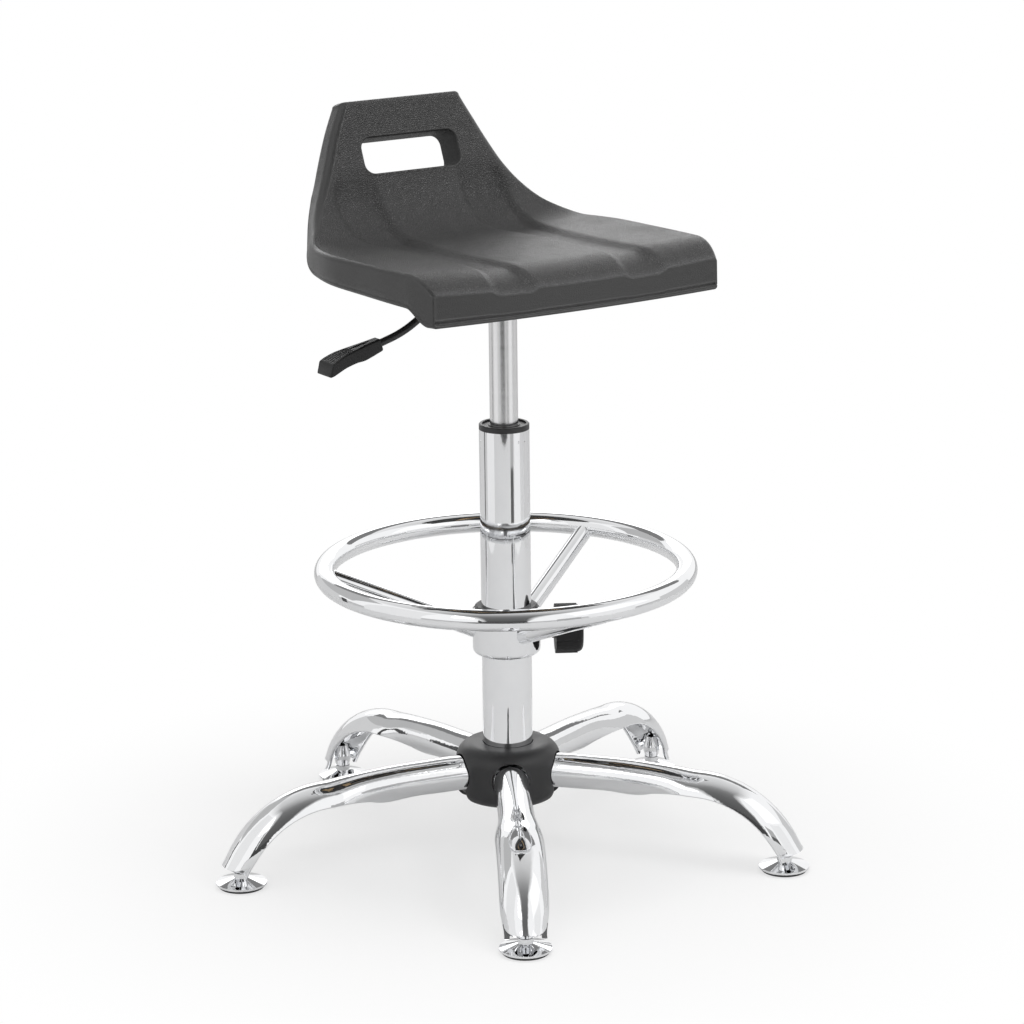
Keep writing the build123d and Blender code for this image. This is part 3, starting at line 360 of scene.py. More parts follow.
def edge_points(side, half_width, front_round, rear_round, top, under):
    """Points down the edge of the seat from its top run to its under run, with the fine parting groove."""
    top_y, top_z = top(side * half_width)
    low_y, low_z = under(side * half_width)
    thickness = hypot(low_y - top_y, low_z - top_z)
    fall = ((low_y - top_y) / thickness, (low_z - top_z) / thickness)
    line = []
    for step in range(1, arc_steps + 1):
        turn = pi / 2 * step / arc_steps
        line.append((half_width - front_round * (1 - sin(turn)), front_round * (1 - cos(turn))))
    low = thickness - rear_round
    # the groove ends where the seat narrows towards the back
    groove = groove_inset * (1 - smooth_step(20, 60, seat_half_width - half_width))
    side_run = low - groove_top - front_round
    line += [(half_width, front_round + side_run * step / side_steps) for step in range(1, side_steps + 1)]
    groove_upper, groove_lower, groove_foot = groove_lines
    line += [(half_width - groove, low - groove_upper), (half_width - groove, low - groove_lower)]
    line += [(half_width, low - groove_foot), (half_width, low)]
    for step in range(1, arc_steps + 1):
        turn = pi / 2 * step / arc_steps
        line.append((half_width - rear_round * (1 - cos(turn)), low + rear_round * sin(turn)))
    return [(side * x, top_y + fall[0] * depth, top_z + fall[1] * depth) for x, depth in line[:-1]]


def seat_loop(row):
    """One closed loop of points round the seat: top run, right edge, under run, left edge."""
    half_width, front_round, rear_round, top, under = seat_row(row)
    half_run = half_width - front_round
    half_low = half_width - rear_round
    near_slot = row >= slot_first - 4 and row <= slot_last + 4
    loop = []
    for column in columns:
        x = column_x(column, half_run, slot_run)
        if near_slot:
            way = ways[row - len(lip_rows)]
            x, rise = slot_warp(x, way - slot_place, slot_run, slot_rise, slot_round + slot_rim)
            loop.append((x, *top(x, slot_place + rise)))
        else:
            loop.append((x, *top(x)))
    loop += edge_points(1, half_width, front_round, rear_round, top, under)
    for column in reversed(columns):
        x = column_x(column, half_low, slot_run)
        if near_slot:
            way = ways[row - len(lip_rows)]
            x, rise = slot_warp(x, way - slot_place, *rear_slot)
            loop.append((x, *under(x, slot_place + rise)))
        else:
            loop.append((x, *under(x)))
    loop += reversed(edge_points(-1, half_width, front_round, rear_round, top, under))
    return loop


slot_depth = blend_table(thickness_table, slot_place)
rear_slot = (
    slot_half_width - slot_side_draft * slot_depth + slot_rim,
    slot_half_height - slot_level_draft * slot_depth + slot_rim,
    slot_round + slot_rim,
)


def inset_loop(loop, inward, forward, radius, start_turns, share):
    """Next loop of a rounded rim: each point turns from the surface's slope to straight across."""
    out = []
    for point, inside, ahead, r, start in zip(loop, inward, forward, radius, start_turns):
        turn = start + (pi / 2 - start) * share
        step = r * (sin(turn) - sin(start))
        sunk = r * (cos(start) - cos(turn))
        out.append(tuple(p + step * a + sunk * i for p, a, i in zip(point, ahead, inside)))
    return out


top_count = len(columns)
edge_count = len(edge_points(1, *seat_row(0)))
under_first = top_count + edge_count
loop_count = 2 * under_first


def loop_inward(loop):
    """Inward direction of each point of a loop, in the plane across the seat."""
    inward = []
    top_mid = Vector(loop[top_count // 2])
    low_mid = Vector(loop[under_first + top_count // 2])
    down = (low_mid - top_mid).normalized()
    for number in range(loop_count):
        along = Vector(loop[(number + 1) % loop_count]) - Vector(loop[number - 1])
        sideways = along.dot(Vector((1, 0, 0)))
        depth = along.dot(down)
        size = hypot(sideways, depth) or 1.0
        inward.append(tuple(down * (sideways / size) + Vector((-depth / size, 0, 0))))
    return inward


def edge_step(number):
    """How far down a side edge a point of a loop lies, counted from the top run; None on the two runs."""
    if top_count <= number < under_first:
        return number - top_count
    if number >= under_first + top_count:
        return loop_count - 1 - number
    return None


def front_rims(first):
    """Loops of the rounded rim from the first row to the front face, which lies in one bowed plane."""
    starts = []
    for number in range(loop_count):
        step = edge_step(number)
        if number < top_count:
            starts.append(lip_arc(first[number][0], 1.0)[2])
        elif step is None:
            starts.append(0.0)
        else:
            starts.append(front_rim_turn * (1 - min(1.0, (step + 1) / arc_steps)))
    radii = [front_rim_round] * loop_count
    ahead = [(0.0, -1.0, 0.0)] * loop_count
    inward = loop_inward(first)
    shares = [step / front_rim_steps for step in range(1, front_rim_steps + 1)]
    rims = [inset_loop(first, inward, ahead, radii, starts, share) for share in shares]
    moves = [front_edge(x) - y for x, y, _ in rims[-1]]
    return [
        [(x, y + move * share, z) for (x, y, z), move in zip(rim, moves)] for share, rim in zip(shares, rims)
    ]


def top_rims(last):
    """Loops of the rounded rim from the last row to the top of the back."""
    radii = []
    for number in range(loop_count):
        step = edge_step(number)
        if step is None:
            radii.append(top_rise if number < top_count else top_sink)
        else:
            radii.append(top_rise + (top_sink - top_rise) * smooth_step(0, edge_count, step))
    lean = profile(bend_length + back_length)[2]
    ahead = [(0.0, cos(lean) * top_rise / radius, sin(lean) * top_rise / radius) for radius in radii]
    inward = loop_inward(last)
    starts = [0.0] * loop_count
    shares = [step / top_rim_steps for step in range(1, top_rim_steps + 1)]
    return [inset_loop(last, inward, ahead, radii, starts, share) for share in shares]


def bow(line, number, share, axis):
    """How far a point of a line lies off the straight line between its ends."""
    return line[number][axis] - line[0][axis] - (line[-1][axis] - line[0][axis]) * share


def close_end(points, faces, base, loop):
    """Grid of faces that closes the front face or the top of the back inside its last loop."""
    top_line = loop[:top_count]
    low_line = loop[under_first:under_first + top_count][::-1]
    width = top_line[-1][0] - top_line[0][0]
    rows = [[base + number for number in range(top_count)]]
    for step in range(edge_count):
        left_index, right_index = loop_count - 1 - step, top_count + step
        left, right = loop[left_index], loop[right_index]
        depth = (left[2] - top_line[0][2]) / (low_line[0][2] - top_line[0][2])
        line = [base + left_index]
        for number in range(1, top_count - 1):
            share = (top_line[number][0] - top_line[0][0]) / width
            place = [start + (end - start) * share for start, end in zip(left, right)]
            for axis in (1, 2):
                upper, lower = bow(top_line, number, share, axis), bow(low_line, number, share, axis)
                place[axis] += upper + (lower - upper) * depth
            line.append(len(points))
            points.append(tuple(place))
        rows.append(line + [base + right_index])
    rows.append([base + under_first + top_count - 1 - number for number in range(top_count)])
    for upper, lower in zip(rows, rows[1:]):
        for number in range(top_count - 1):
            faces.append((upper[number], upper[number + 1], lower[number + 1], lower[number]))


def slot_walls(points, faces, first_row):
    """Walls of the hand slot, rounded at both ends; returns the points that lie inside it."""
    left, right = outer_columns, outer_columns + 2 * inner_columns
    low, high = first_row + slot_first, first_row + slot_last
    around = [(low, column) for column in range(left, right)]
    around += [(row, right) for row in range(low, high)]
    around += [(high, column) for column in range(right, left, -1)]
    around += [(row, left) for row in range(high, low, -1)]
    turns = [pi / 2 * step / slot_rim_steps for step in range(slot_rim_steps + 1)]
    wall = slot_depth - 2 * slot_rim
    steps = [(slot_rim * sin(turn), slot_rim * (1 - cos(turn))) for turn in turns[1:]]
    steps += [(slot_rim, slot_rim + wall * step / slot_wall_steps) for step in range(1, slot_wall_steps)]
    steps += [(slot_rim * cos(turn), slot_depth - slot_rim * (1 - sin(turn))) for turn in turns[:-1]]
    rings = [[row * loop_count + column for row, column in around]]
    for shrink, depth in steps:
        half_w = slot_run - shrink - slot_side_draft * depth
        half_h = slot_rise - shrink - slot_level_draft * depth
        corner = slot_round + slot_rim - shrink
        ring = []
        for row, column in around:
            x = column_x(columns[column], slot_run, slot_run)
            rise = ways[row - first_row - len(lip_rows)] - slot_place
            u, v = rounded_frame(x * half_w / slot_run, rise * half_h / slot_rise, half_w, half_h, corner)
            y, z, turn = profile(slot_place + v)
            ring.append(len(points))
            points.append((u, y + depth * sin(turn), z - depth * cos(turn)))
        rings.append(ring)
    inside = {index for ring in rings[2:] for index in ring}
    rings.append([row * loop_count + under_first + top_count - 1 - column for row, column in around])
    for outer, inner in zip(rings, rings[1:]):
        for number in range(len(around)):
            after = (number + 1) % len(around)
            faces.append((outer[number], outer[after], inner[after], inner[number]))
    return inside


def build_seat():
    """The moulded seat with its low back, as one closed skin with a hand slot."""
    loops = [seat_loop(row) for row in range(len(lip_rows) + len(ways))]
    rims = front_rims(loops[0])
    rim_rows = len(rims)
    loops = rims[::-1] + loops + top_rims(loops[-1])
    points = [point for loop in loops for point in loop]
    slot_rows = range(rim_rows + slot_first, rim_rows + slot_last)
    slot_columns = range(outer_columns, outer_columns + 2 * inner_columns)
    faces = []
    for row in range(len(loops) - 1):
        here, there = row * loop_count, (row + 1) * loop_count
        for number in range(loop_count):
            if row in slot_rows and (number in slot_columns or number - under_first in slot_columns):
                continue
            after = (number + 1) % loop_count
            faces.append((here + number, here + after, there + after, there + number))
    close_end(points, faces, 0, loops[0])
    close_end(points, faces, (len(loops) - 1) * loop_count, loops[-1])
    inside = slot_walls(points, faces, rim_rows)
    used = sorted({index for face in faces for index in face})
    order = {index: place for place, index in enumerate(used)}
    piece = new_piece(
        "moulded_seat", [points[index] for index in used],
        [tuple(order[index] for index in face) for face in faces], "seat",
    )
    # the grain is deepest on the sitting surface and shallow on edges and underneath; the material also paints
    # shade where it is shallow
    grain, slot_shade_values, front_highlight_values = [], [], []
    for index in used:
        row, number = divmod(index, loop_count)
        on_top = number < top_count and row < len(loops)
        grain.append(min(1.0, edge_grain + (1 - edge_grain) * row / rim_rows) if on_top else edge_grain)
        # the walls of the hand slot are marked for painted shade
        slot_shade_values.append(1.0 if index in inside else 0.0)
        # the rows at the front edge are marked for a painted highlight
        front_highlight_values.append(max(0.0, 1 - abs(row - rim_rows + 1) / highlight_rows) if on_top else 0.0)
    for name, values in (("grain", grain), ("slot_wall_shade", slot_shade_values), ("front_edge", front_highlight_values)):
        layer = piece.data.attributes.new(name, "FLOAT", "POINT")
        layer.data.foreach_set("value", values)
    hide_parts("seat_cushion")
    return piece


moulded_seat = build_seat()

# Lever grip: top and bottom lines (x, height) and half widths from the end to the root, in millimetres
grip_top = (
    (-200.0, 530.3), (-194.0, 533.6), (-185.4, 537.2), (-175.2, 539.9), (-158.5, 543.9), (-142.0, 547.6),
)
grip_bottom = (
    (-202.6, 517.9), (-197.9, 518.9), (-183.7, 524.4), (-170.0, 527.6), (-159.3, 528.6), (-139.0, 535.4),
)
grip_half_widths = (
    (-202.6, 13.4), (-197.0, 13.4), (-185.0, 11.6), (-172.0, 9.6), (-158.0, 7.2), (-139.0, 5.4),
)
grip_length = grip_top[-1][0] - grip_top[0][0]
grip_round = 2.0
grip_end_round = 1.4
grip_grooves = 5
groove_depth = 0.55
groove_start = (0.46, 0.60)     # shares of the grip's length where the grooves begin and end
groove_end = (0.93, 0.97)
groove_margin = 0.12
leaf_depth = 1.0
leaf_middle = 0.36
leaf_half_length = 0.20
leaf_half_width = 0.48
leaf_shift = 0.6
grip_columns = 60
grip_rows = 64
grip_side_steps = 6
grip_end_steps = 4
grip_end_share = 0.03


def grip_sink(share, across, flat):
    """How deep the top of the grip lies below its line: grooves on the outer half, a leaf-shaped dish inside.

    share runs along the grip from its root, across is the place across it and flat the half width of its top.
    """
    grooved = smooth_step(*groove_start, share) * (1 - smooth_step(*groove_end, share))
    wave = 0.5 + 0.5 * cos(2 * pi * grip_grooves * (across / (2 * flat) + 0.5))
    edge = smooth_step(0.0, groove_margin, 1 - abs(across) / flat)
    along = (share - leaf_middle) / leaf_half_length
    side = (across + leaf_shift) / (leaf_half_width * flat)
    leaf = max(0.0, 1 - along * along - side * side * (1.6 + 1.2 * along))
    return groove_depth * grooved * wave * edge + leaf_depth * smooth_step(0.0, 0.5, leaf)


def grip_loop(share, shrink):
    """One loop of points round the grip at a share of its length from the root; shrink rounds the two ends."""
    top_x = grip_top[-1][0] - grip_length * share
    low_x = grip_bottom[-1][0] + (grip_bottom[0][0] - grip_bottom[-1][0]) * share
    top_z = blend_table(grip_top, top_x) - shrink
    height = top_z - blend_table(grip_bottom, low_x) - shrink
    half = blend_table(grip_half_widths, top_x) - shrink
    corner = max(0.4, grip_round - shrink)
    flat = half - corner
    places = [-flat + 2 * flat * step / grip_columns for step in range(grip_columns + 1)]
    line = [(across, grip_sink(share, across, flat)) for across in places]
    turns = [pi / 2 * step / grip_side_steps for step in range(1, grip_side_steps)]
    side = height - 2 * corner
    edge = [(flat + corner * sin(turn), corner * (1 - cos(turn))) for turn in turns]
    edge += [(half, corner + side * step / grip_side_steps) for step in range(grip_side_steps + 1)]
    edge += [(flat + corner * cos(turn), height - corner * (1 - sin(turn))) for turn in turns]
    line += edge
    line += [(across, height) for across in reversed(places)]
    line += [(-across, depth) for across, depth in reversed(edge)]
    return [(top_x + (low_x - top_x) * depth / height, -across, top_z - depth) for across, depth in line]


def build_grip():
    """The moulded grip of the lever, closed at both ends."""
    turns = [pi / 2 * step / grip_end_steps for step in range(grip_end_steps + 1)]
    end_share = grip_end_round / grip_length
    ends = [(end_share * (1 - cos(turn)), grip_end_round * (1 - sin(turn))) for turn in turns]
    run = 1 - 2 * grip_end_share
    rows = ends + [(grip_end_share + run * step / grip_rows, 0.0) for step in range(grip_rows + 1)]
    rows += [(1 - share, shrink) for share, shrink in reversed(ends)]
    loops = [grip_loop(share, shrink) for share, shrink in rows]
    count = len(loops[0])
    points = [point for loop in loops for point in loop]
    faces = []
    for row in range(len(loops) - 1):
        for number in range(count):
            after = (number + 1) % count
            first, second = row * count, (row + 1) * count
            faces.append((first + number, first + after, second + after, second + number))
    faces.append(tuple(range(count)))
    faces.append(tuple(range((len(loops) - 1) * count, len(loops) * count)))
    piece = new_piece("shaped_grip", points, faces, "lever")
    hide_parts("lever_grip")
    return piece


shaped_grip = build_grip()

# Camera from the photograph's viewing angle
camera_data = bpy.data.cameras.new("camera")
camera_data.sensor_width = 36.0
camera_data.lens = 125.015
camera_data.clip_end = 50
camera = bpy.data.objects.new("camera", camera_data)
bpy.context.scene.collection.objects.link(camera)
bpy.context.scene.camera = camera
turn, pitch, yaw, roll = radians(-32.5), 0.2611, -0.0020, -0.0117
right = Vector((cos(yaw), sin(yaw), 0))
ahead = Vector((-sin(yaw) * cos(pitch), cos(yaw) * cos(pitch), -sin(pitch)))
upward = right.cross(ahead)
right, upward = right * cos(roll) + upward * sin(roll), upward * cos(roll) - right * sin(roll)
stand = Matrix.Rotation(turn, 3, "Z")
place = stand @ Vector((0, -3.4103, 1.2641))
axes = Matrix((stand @ right, stand @ upward, stand @ -ahead)).transposed()
camera.matrix_world = Matrix.Translation(place) @ axes.to_4x4()

# Studio
scene = bpy.context.scene
scene.view_settings.view_transform = "Standard"

floor_mesh = bpy.data.meshes.new("floor")
floor_half, floor_level = 9, -0.0006
floor_corners = [(x * floor_half, y * floor_half, floor_level) for x, y in ((-1, -1), (1, -1), (1, 1), (-1, 1))]
floor_mesh.from_pydata(floor_corners, [], [(0, 1, 2, 3)])
floor = bpy.data.objects.new("floor", floor_mesh)
scene.collection.objects.link(floor)


def material(name):
    """New material with an empty node tree."""
    made = bpy.data.materials.new(name)
    made.use_nodes = True
    made.node_tree.nodes.clear()
    return made, made.node_tree


def add(tree, kind, **values):
    """New node in a tree, with its settings."""
    node = tree.nodes.new(kind)
    for name, value in values.items():
        setattr(node, name, value)
    return node


floor_look, tree = material("floor_white")
out = add(tree, "ShaderNodeOutputMaterial")
lit = add(tree, "ShaderNodeBsdfDiffuse")
paper = add(tree, "ShaderNodeMix", data_type="RGBA")
paper.inputs["A"].default_value = (0.82, 0.82, 0.82, 1)
paper.inputs["B"].default_value = (0.95, 0.95, 0.95, 1)
glow = add(tree, "ShaderNodeEmission")
glow.inputs["Color"].default_value = (1, 1, 1, 1)
mix = add(tree, "ShaderNodeMixShader")
paths = add(tree, "ShaderNodeLightPath")
spot = add(tree, "ShaderNodeTexCoord")
length = add(tree, "ShaderNodeVectorMath", operation="LENGTH")
fade = add(tree, "ShaderNodeMapRange", interpolation_type="SMOOTHSTEP")
fade.inputs["From Min"].default_value = 0.15
fade.inputs["From Max"].default_value = 0.62
fade.inputs["To Min"].default_value = 0.58
seen = add(tree, "ShaderNodeMath", operation="MULTIPLY")
tree.links.new(spot.outputs["Object"], length.inputs[0])
tree.links.new(length.outputs["Value"], fade.inputs["Value"])
tree.links.new(fade.outputs["Result"], seen.inputs[0])
tree.links.new(paths.outputs["Is Camera Ray"], seen.inputs[1])
tree.links.new(paths.outputs["Is Camera Ray"], paper.inputs["Factor"])
tree.links.new(paper.outputs["Result"], lit.inputs["Color"])
tree.links.new(seen.outputs["Value"], mix.inputs[0])
tree.links.new(lit.outputs[0], mix.inputs[1])
tree.links.new(glow.outputs[0], mix.inputs[2])
tree.links.new(mix.outputs[0], out.inputs["Surface"])
floor_mesh.materials.append(floor_look)


def panel(name, points, faces, levels):
    """Panel of the studio set that only shows in polished surfaces; points in the camera's frame, metres."""
    mesh = bpy.data.meshes.new(name)
    mesh.from_pydata([stand @ Vector(point) for point in points], [], faces)
    shade = mesh.attributes.new("shade", "FLOAT", "POINT")
    shade.data.foreach_set("value", levels)
    look, tree = material(name)
    out = add(tree, "ShaderNodeOutputMaterial")
    glow = add(tree, "ShaderNodeEmission")
    read = add(tree, "ShaderNodeAttribute", attribute_name="shade")
    tree.links.new(read.outputs["Fac"], glow.inputs["Strength"])
    tree.links.new(glow.outputs[0], out.inputs["Surface"])
    mesh.materials.append(look)
    piece = bpy.data.objects.new(name, mesh)
    scene.collection.objects.link(piece)
    piece.visible_camera = False
    piece.visible_diffuse = False
    piece.visible_shadow = False
    return piece


def card(name, corners, level):
    """Flat card of one shade."""
    return panel(name, corners, [(0, 1, 2, 3)], [level] * 4)


def overhead_strip(name, stations, reach, foot):
    """Strip of shade from behind the camera up and over the object, with soft edges that end in white.

    Each station gives its angle above the floor, its half width in full shade and to the edge, and its shade.
    """
    points, levels = [], []
    for angle, shade_width, edge_width, level in stations:
        middle = foot - Vector((0, reach * cos(radians(angle)), -reach * sin(radians(angle))))
        sides = (-edge_width, -shade_width, shade_width, edge_width)
        points += [middle + Vector((side, 0, 0)) for side in sides]
        levels += [1.0, level, level, 1.0]
    faces = []
    for row in range(0, len(points) - 4, 4):
        faces += [(row + step, row + step + 1, row + step + 5, row + step + 4) for step in range(3)]
    return panel(name, points, faces, levels)


def standing_card(name, azimuth, distance, width, low, high, level):
    """Upright card facing the column, at an angle to the right of the camera."""
    turn = radians(azimuth)
    middle = Vector((distance * sin(turn), -distance * cos(turn), 0))
    side = Vector((cos(turn), sin(turn), 0)) * width / 2
    up, down = Vector((0, 0, high)), Vector((0, 0, low))
    left, right = middle - side, middle + side
    return card(name, (left + down, right + down, right + up, left + up), level)


# Cards that stand round the object: angle, distance, width, foot, head and shade
standing_card("left_white", -66, 1.15, 0.80, 0.0, 1.5, 0.86)
standing_card("right_white", 60, 1.15, 0.62, 0.0, 0.55, 0.90)
standing_card("right_high", 64, 1.25, 1.2, 0.66, 1.7, 1.15)
standing_card("left_high", -118, 1.25, 1.0, 0.5, 1.6, 0.50)
standing_card("left_grey", -125, 1.15, 0.70, 0.0, 0.5, 0.66)
standing_card("right_grey", 112, 1.15, 0.70, 0.0, 0.5, 0.64)
standing_card("right_flag", 33.5, 1.10, 0.26, 0.0, 0.13, 0.12)
standing_card("right_flag_high", 33.5, 1.10, 0.26, 0.13, 0.34, 0.45)
standing_card("left_flag", -101, 1.00, 0.09, 0.0, 0.34, 0.08)
# The floor in front of the set, the shade behind and over the camera, and the wall behind the object
card("dark_floor", ((-1.5, -4.6, 0.001), (0.8, -4.6, 0.001), (0.5, -1.75, 0.001), (-0.9, -1.75, 0.001)), 0.08)
strip_stations = (
    (8, 0.50, 0.62, 0.10), (34, 0.50, 0.72, 0.13), (45, 0.52, 0.80, 0.15), (55, 0.55, 0.90, 0.18),
    (64, 0.70, 1.05, 0.24), (72, 0.90, 1.35, 0.34), (80, 1.10, 1.60, 0.46), (90, 1.20, 1.80, 0.58),
    (102, 1.30, 1.90, 0.66), (118, 1.30, 1.90, 0.76), (132, 1.30, 1.90, 0.92),
)
overhead_strip("overhead_gap", strip_stations, 2.4, Vector((0, -0.3, 0.1)))
card("dark_rear", ((-2.4, 2.6, 1.9), (2.4, 2.6, 1.9), (2.4, 2.3, 3.5), (-2.4, 2.3, 3.5)), 0.22)
card("bright_rear", ((-1.4, 2.7, 0.85), (0.9, 2.7, 0.85), (0.9, 2.7, 1.8), (-1.4, 2.7, 1.8)), 2.5)
card("dark_room", ((-1.5, -5.2, 0.0), (1.1, -5.2, 0.0), (1.1, -5.2, 3.2), (-1.5, -5.2, 3.2)), 0.06)

world = bpy.data.worlds.new("studio")
scene.world = world
world.use_nodes = True
tree = world.node_tree
tree.nodes.clear()
out = add(tree, "ShaderNodeOutputWorld")
soft = add(tree, "ShaderNodeBackground")
soft.inputs["Color"].default_value = (1, 1, 1, 1)
soft.inputs["Strength"].default_value = 0.58
white = add(tree, "ShaderNodeBackground")
white.inputs["Color"].default_value = (1, 1, 1, 1)
white.inputs["Strength"].default_value = 1.0
paths = add(tree, "ShaderNodeLightPath")
shown = add(tree, "ShaderNodeMath", operation="MAXIMUM")
any_shown = add(tree, "ShaderNodeMath", operation="MAXIMUM")
mix = add(tree, "ShaderNodeMixShader")
tree.links.new(paths.outputs["Is Camera Ray"], shown.inputs[0])
tree.links.new(paths.outputs["Is Glossy Ray"], shown.inputs[1])
tree.links.new(shown.outputs[0], any_shown.inputs[0])
tree.links.new(paths.outputs["Is Transmission Ray"], any_shown.inputs[1])
tree.links.new(any_shown.outputs[0], mix.inputs[0])
tree.links.new(soft.outputs[0], mix.inputs[1])
tree.links.new(white.outputs[0], mix.inputs[2])
tree.links.new(mix.outputs[0], out.inputs["Surface"])


def area_light(name, place, aim, width, height, power):
    """Soft rectangular lamp; sizes in metres, power in watts."""
    data = bpy.data.lights.new(name, "AREA")
    data.shape = "RECTANGLE"
    data.size, data.size_y = width, height
    data.energy = power
    light = bpy.data.objects.new(name, data)
    scene.collection.objects.link(light)
    light.location = place
    light.rotation_euler = (Vector(aim) - Vector(place)).to_track_quat("-Z", "Y").to_euler()
    return light


area_light("top_softbox", stand @ Vector((0.25, -0.1, 2.6)), (0, 0, 0.4), 0.9, 0.9, 14)
area_light("right_softbox", stand @ Vector((1.7, -1.2, 2.2)), (0, 0, 0.6), 0.6, 0.6, 9)
area_light("front_softbox", stand @ Vector((-0.9, -2.3, 2.3)), (0, 0, 0.6), 1.2, 1.2, 8)

# Shared surface effects
def effect(name, inputs, outputs):
    """Empty node group with the given sockets."""
    group = bpy.data.node_groups.new(name, "ShaderNodeTree")
    for socket, kind in inputs:
        group.interface.new_socket(socket, in_out="INPUT", socket_type=kind)
    for socket, kind in outputs:
        group.interface.new_socket(socket, in_out="OUTPUT", socket_type=kind)
    return group, group.nodes.new("NodeGroupInput"), group.nodes.new("NodeGroupOutput")


VALUE, VECTOR = "NodeSocketFloat", "NodeSocketVector"


def noise(tree, vector, scale, detail=3.0, roughness=0.55):
    """Cloudy value over the surface."""
    node = add(tree, "ShaderNodeTexNoise")
    node.inputs["Scale"].default_value = scale
    node.inputs["Detail"].default_value = detail
    node.inputs["Roughness"].default_value = roughness
    tree.links.new(vector, node.inputs["Vector"])
    return node.outputs["Fac"]


def spread(tree, value, low, high, to_low, to_high, soft=False):
    """Value carried from one range to another, with soft ends where asked."""
    node = add(tree, "ShaderNodeMapRange", interpolation_type="SMOOTHSTEP" if soft else "LINEAR")
    for socket, number in (("From Min", low), ("From Max", high), ("To Min", to_low), ("To Max", to_high)):
        node.inputs[socket].default_value = number
    tree.links.new(value, node.inputs["Value"])
    return node.outputs["Result"]


def combine(tree, operation, first, second):
    """Sum, product or other reckoning of two values."""
    node = add(tree, "ShaderNodeMath", operation=operation)
    for socket, value in zip(node.inputs, (first, second)):
        if isinstance(value, (int, float)):
            socket.default_value = value
        else:
            tree.links.new(value, socket)
    return node.outputs[0]


# Leather-like grain of the moulded skin: pebbles with fine creases between them
leather, enter, leave = effect("leather_grain", [("Vector", VECTOR)], [("Height", VALUE), ("Crease", VALUE)])
drift = add(leather, "ShaderNodeTexNoise")
drift.inputs["Scale"].default_value = 260
leather.links.new(enter.outputs["Vector"], drift.inputs["Vector"])
bent = add(leather, "ShaderNodeVectorMath", operation="MULTIPLY_ADD")
bent.inputs[1].default_value = (0.0016, 0.0016, 0.0016)
leather.links.new(drift.outputs["Color"], bent.inputs[0])
leather.links.new(enter.outputs["Vector"], bent.inputs[2])
cells = add(leather, "ShaderNodeTexVoronoi", feature="DISTANCE_TO_EDGE")
cells.inputs["Scale"].default_value = 520
leather.links.new(bent.outputs[0], cells.inputs["Vector"])
pebble = spread(leather, cells.outputs["Distance"], 0.0, 0.32, 0.0, 1.0, True)
fine = noise(leather, enter.outputs["Vector"], 2600, 2)
rough = combine(leather, "MULTIPLY", fine, 0.25)
height = combine(leather, "ADD", combine(leather, "MULTIPLY", pebble, 0.8), rough)
leather.links.new(height, leave.inputs["Height"])
leather.links.new(combine(leather, "SUBTRACT", 1.0, pebble), leave.inputs["Crease"])

# Fine even texture of moulded plastic and powder paint
speckle, enter, leave = effect("moulded_texture", [("Vector", VECTOR)], [("Height", VALUE), ("Mottle", VALUE)])
speckle.links.new(noise(speckle, enter.outputs["Vector"], 1500, 2), leave.inputs["Height"])
speckle.links.new(noise(speckle, enter.outputs["Vector"], 45, 4), leave.inputs["Mottle"])

# Handling marks: soft smudges and hair-fine scratches
marks, enter, leave = effect("handling_marks", [("Vector", VECTOR)], [("Smudge", VALUE), ("Scratch", VALUE)])
smudge = spread(marks, noise(marks, enter.outputs["Vector"], 22, 5, 0.6), 0.42, 0.72, 0.0, 1.0, True)
marks.links.new(smudge, leave.inputs["Smudge"])
stretch = add(marks, "ShaderNodeMapping")
stretch.inputs["Scale"].default_value = (240, 240, 9)
stretch.inputs["Rotation"].default_value = (0.5, 0.3, 0.2)
marks.links.new(enter.outputs["Vector"], stretch.inputs["Vector"])
lines = spread(marks, noise(marks, stretch.outputs["Vector"], 1.0, 2, 0.5), 0.70, 0.80, 0.0, 1.0)
marks.links.new(lines, leave.inputs["Scratch"])

# Grinding lines that run round an upright shaft
turned, enter, leave = effect("turned_lines", [("Vector", VECTOR)], [("Height", VALUE), ("Band", VALUE)])
squeeze = add(turned, "ShaderNodeMapping")
squeeze.inputs["Scale"].default_value = (6, 6, 2600)
turned.links.new(enter.outputs["Vector"], squeeze.inputs["Vector"])
turned.links.new(noise(turned, squeeze.outputs["Vector"], 1.0, 2), leave.inputs["Height"])
wide = add(turned, "ShaderNodeMapping")
wide.inputs["Scale"].default_value = (2, 2, 160)
turned.links.new(enter.outputs["Vector"], wide.inputs["Vector"])
turned.links.new(noise(turned, wide.outputs["Vector"], 1.0, 3), leave.inputs["Band"])

# Edges rubbed a little paler
edges, enter, leave = effect("edge_rub", [("Vector", VECTOR)], [("Mask", VALUE)])
bump_shape = add(edges, "ShaderNodeNewGeometry")
ridge = spread(edges, bump_shape.outputs["Pointiness"], 0.52, 0.62, 0.0, 1.0, True)
patch = spread(edges, noise(edges, enter.outputs["Vector"], 90, 3), 0.35, 0.65, 0.3, 1.0)
edges.links.new(combine(edges, "MULTIPLY", ridge, patch), leave.inputs["Mask"])


def use_effect(tree, group, vector):
    """Places a shared effect in a material and returns its outputs."""
    node = add(tree, "ShaderNodeGroup", node_tree=group)
    tree.links.new(vector, node.inputs["Vector"])
    return node.outputs


def surface(name, metallic, specular=0.5):
    """Material with a principled shader; returns it, its tree, the shader and object coordinates."""
    made, tree = material(name)
    out = add(tree, "ShaderNodeOutputMaterial")
    shader = add(tree, "ShaderNodeBsdfPrincipled")
    shader.inputs["Metallic"].default_value = metallic
    shader.inputs["Specular IOR Level"].default_value = specular
    tree.links.new(shader.outputs[0], out.inputs["Surface"])
    spot = add(tree, "ShaderNodeTexCoord").outputs["Object"]
    return made, tree, shader, spot


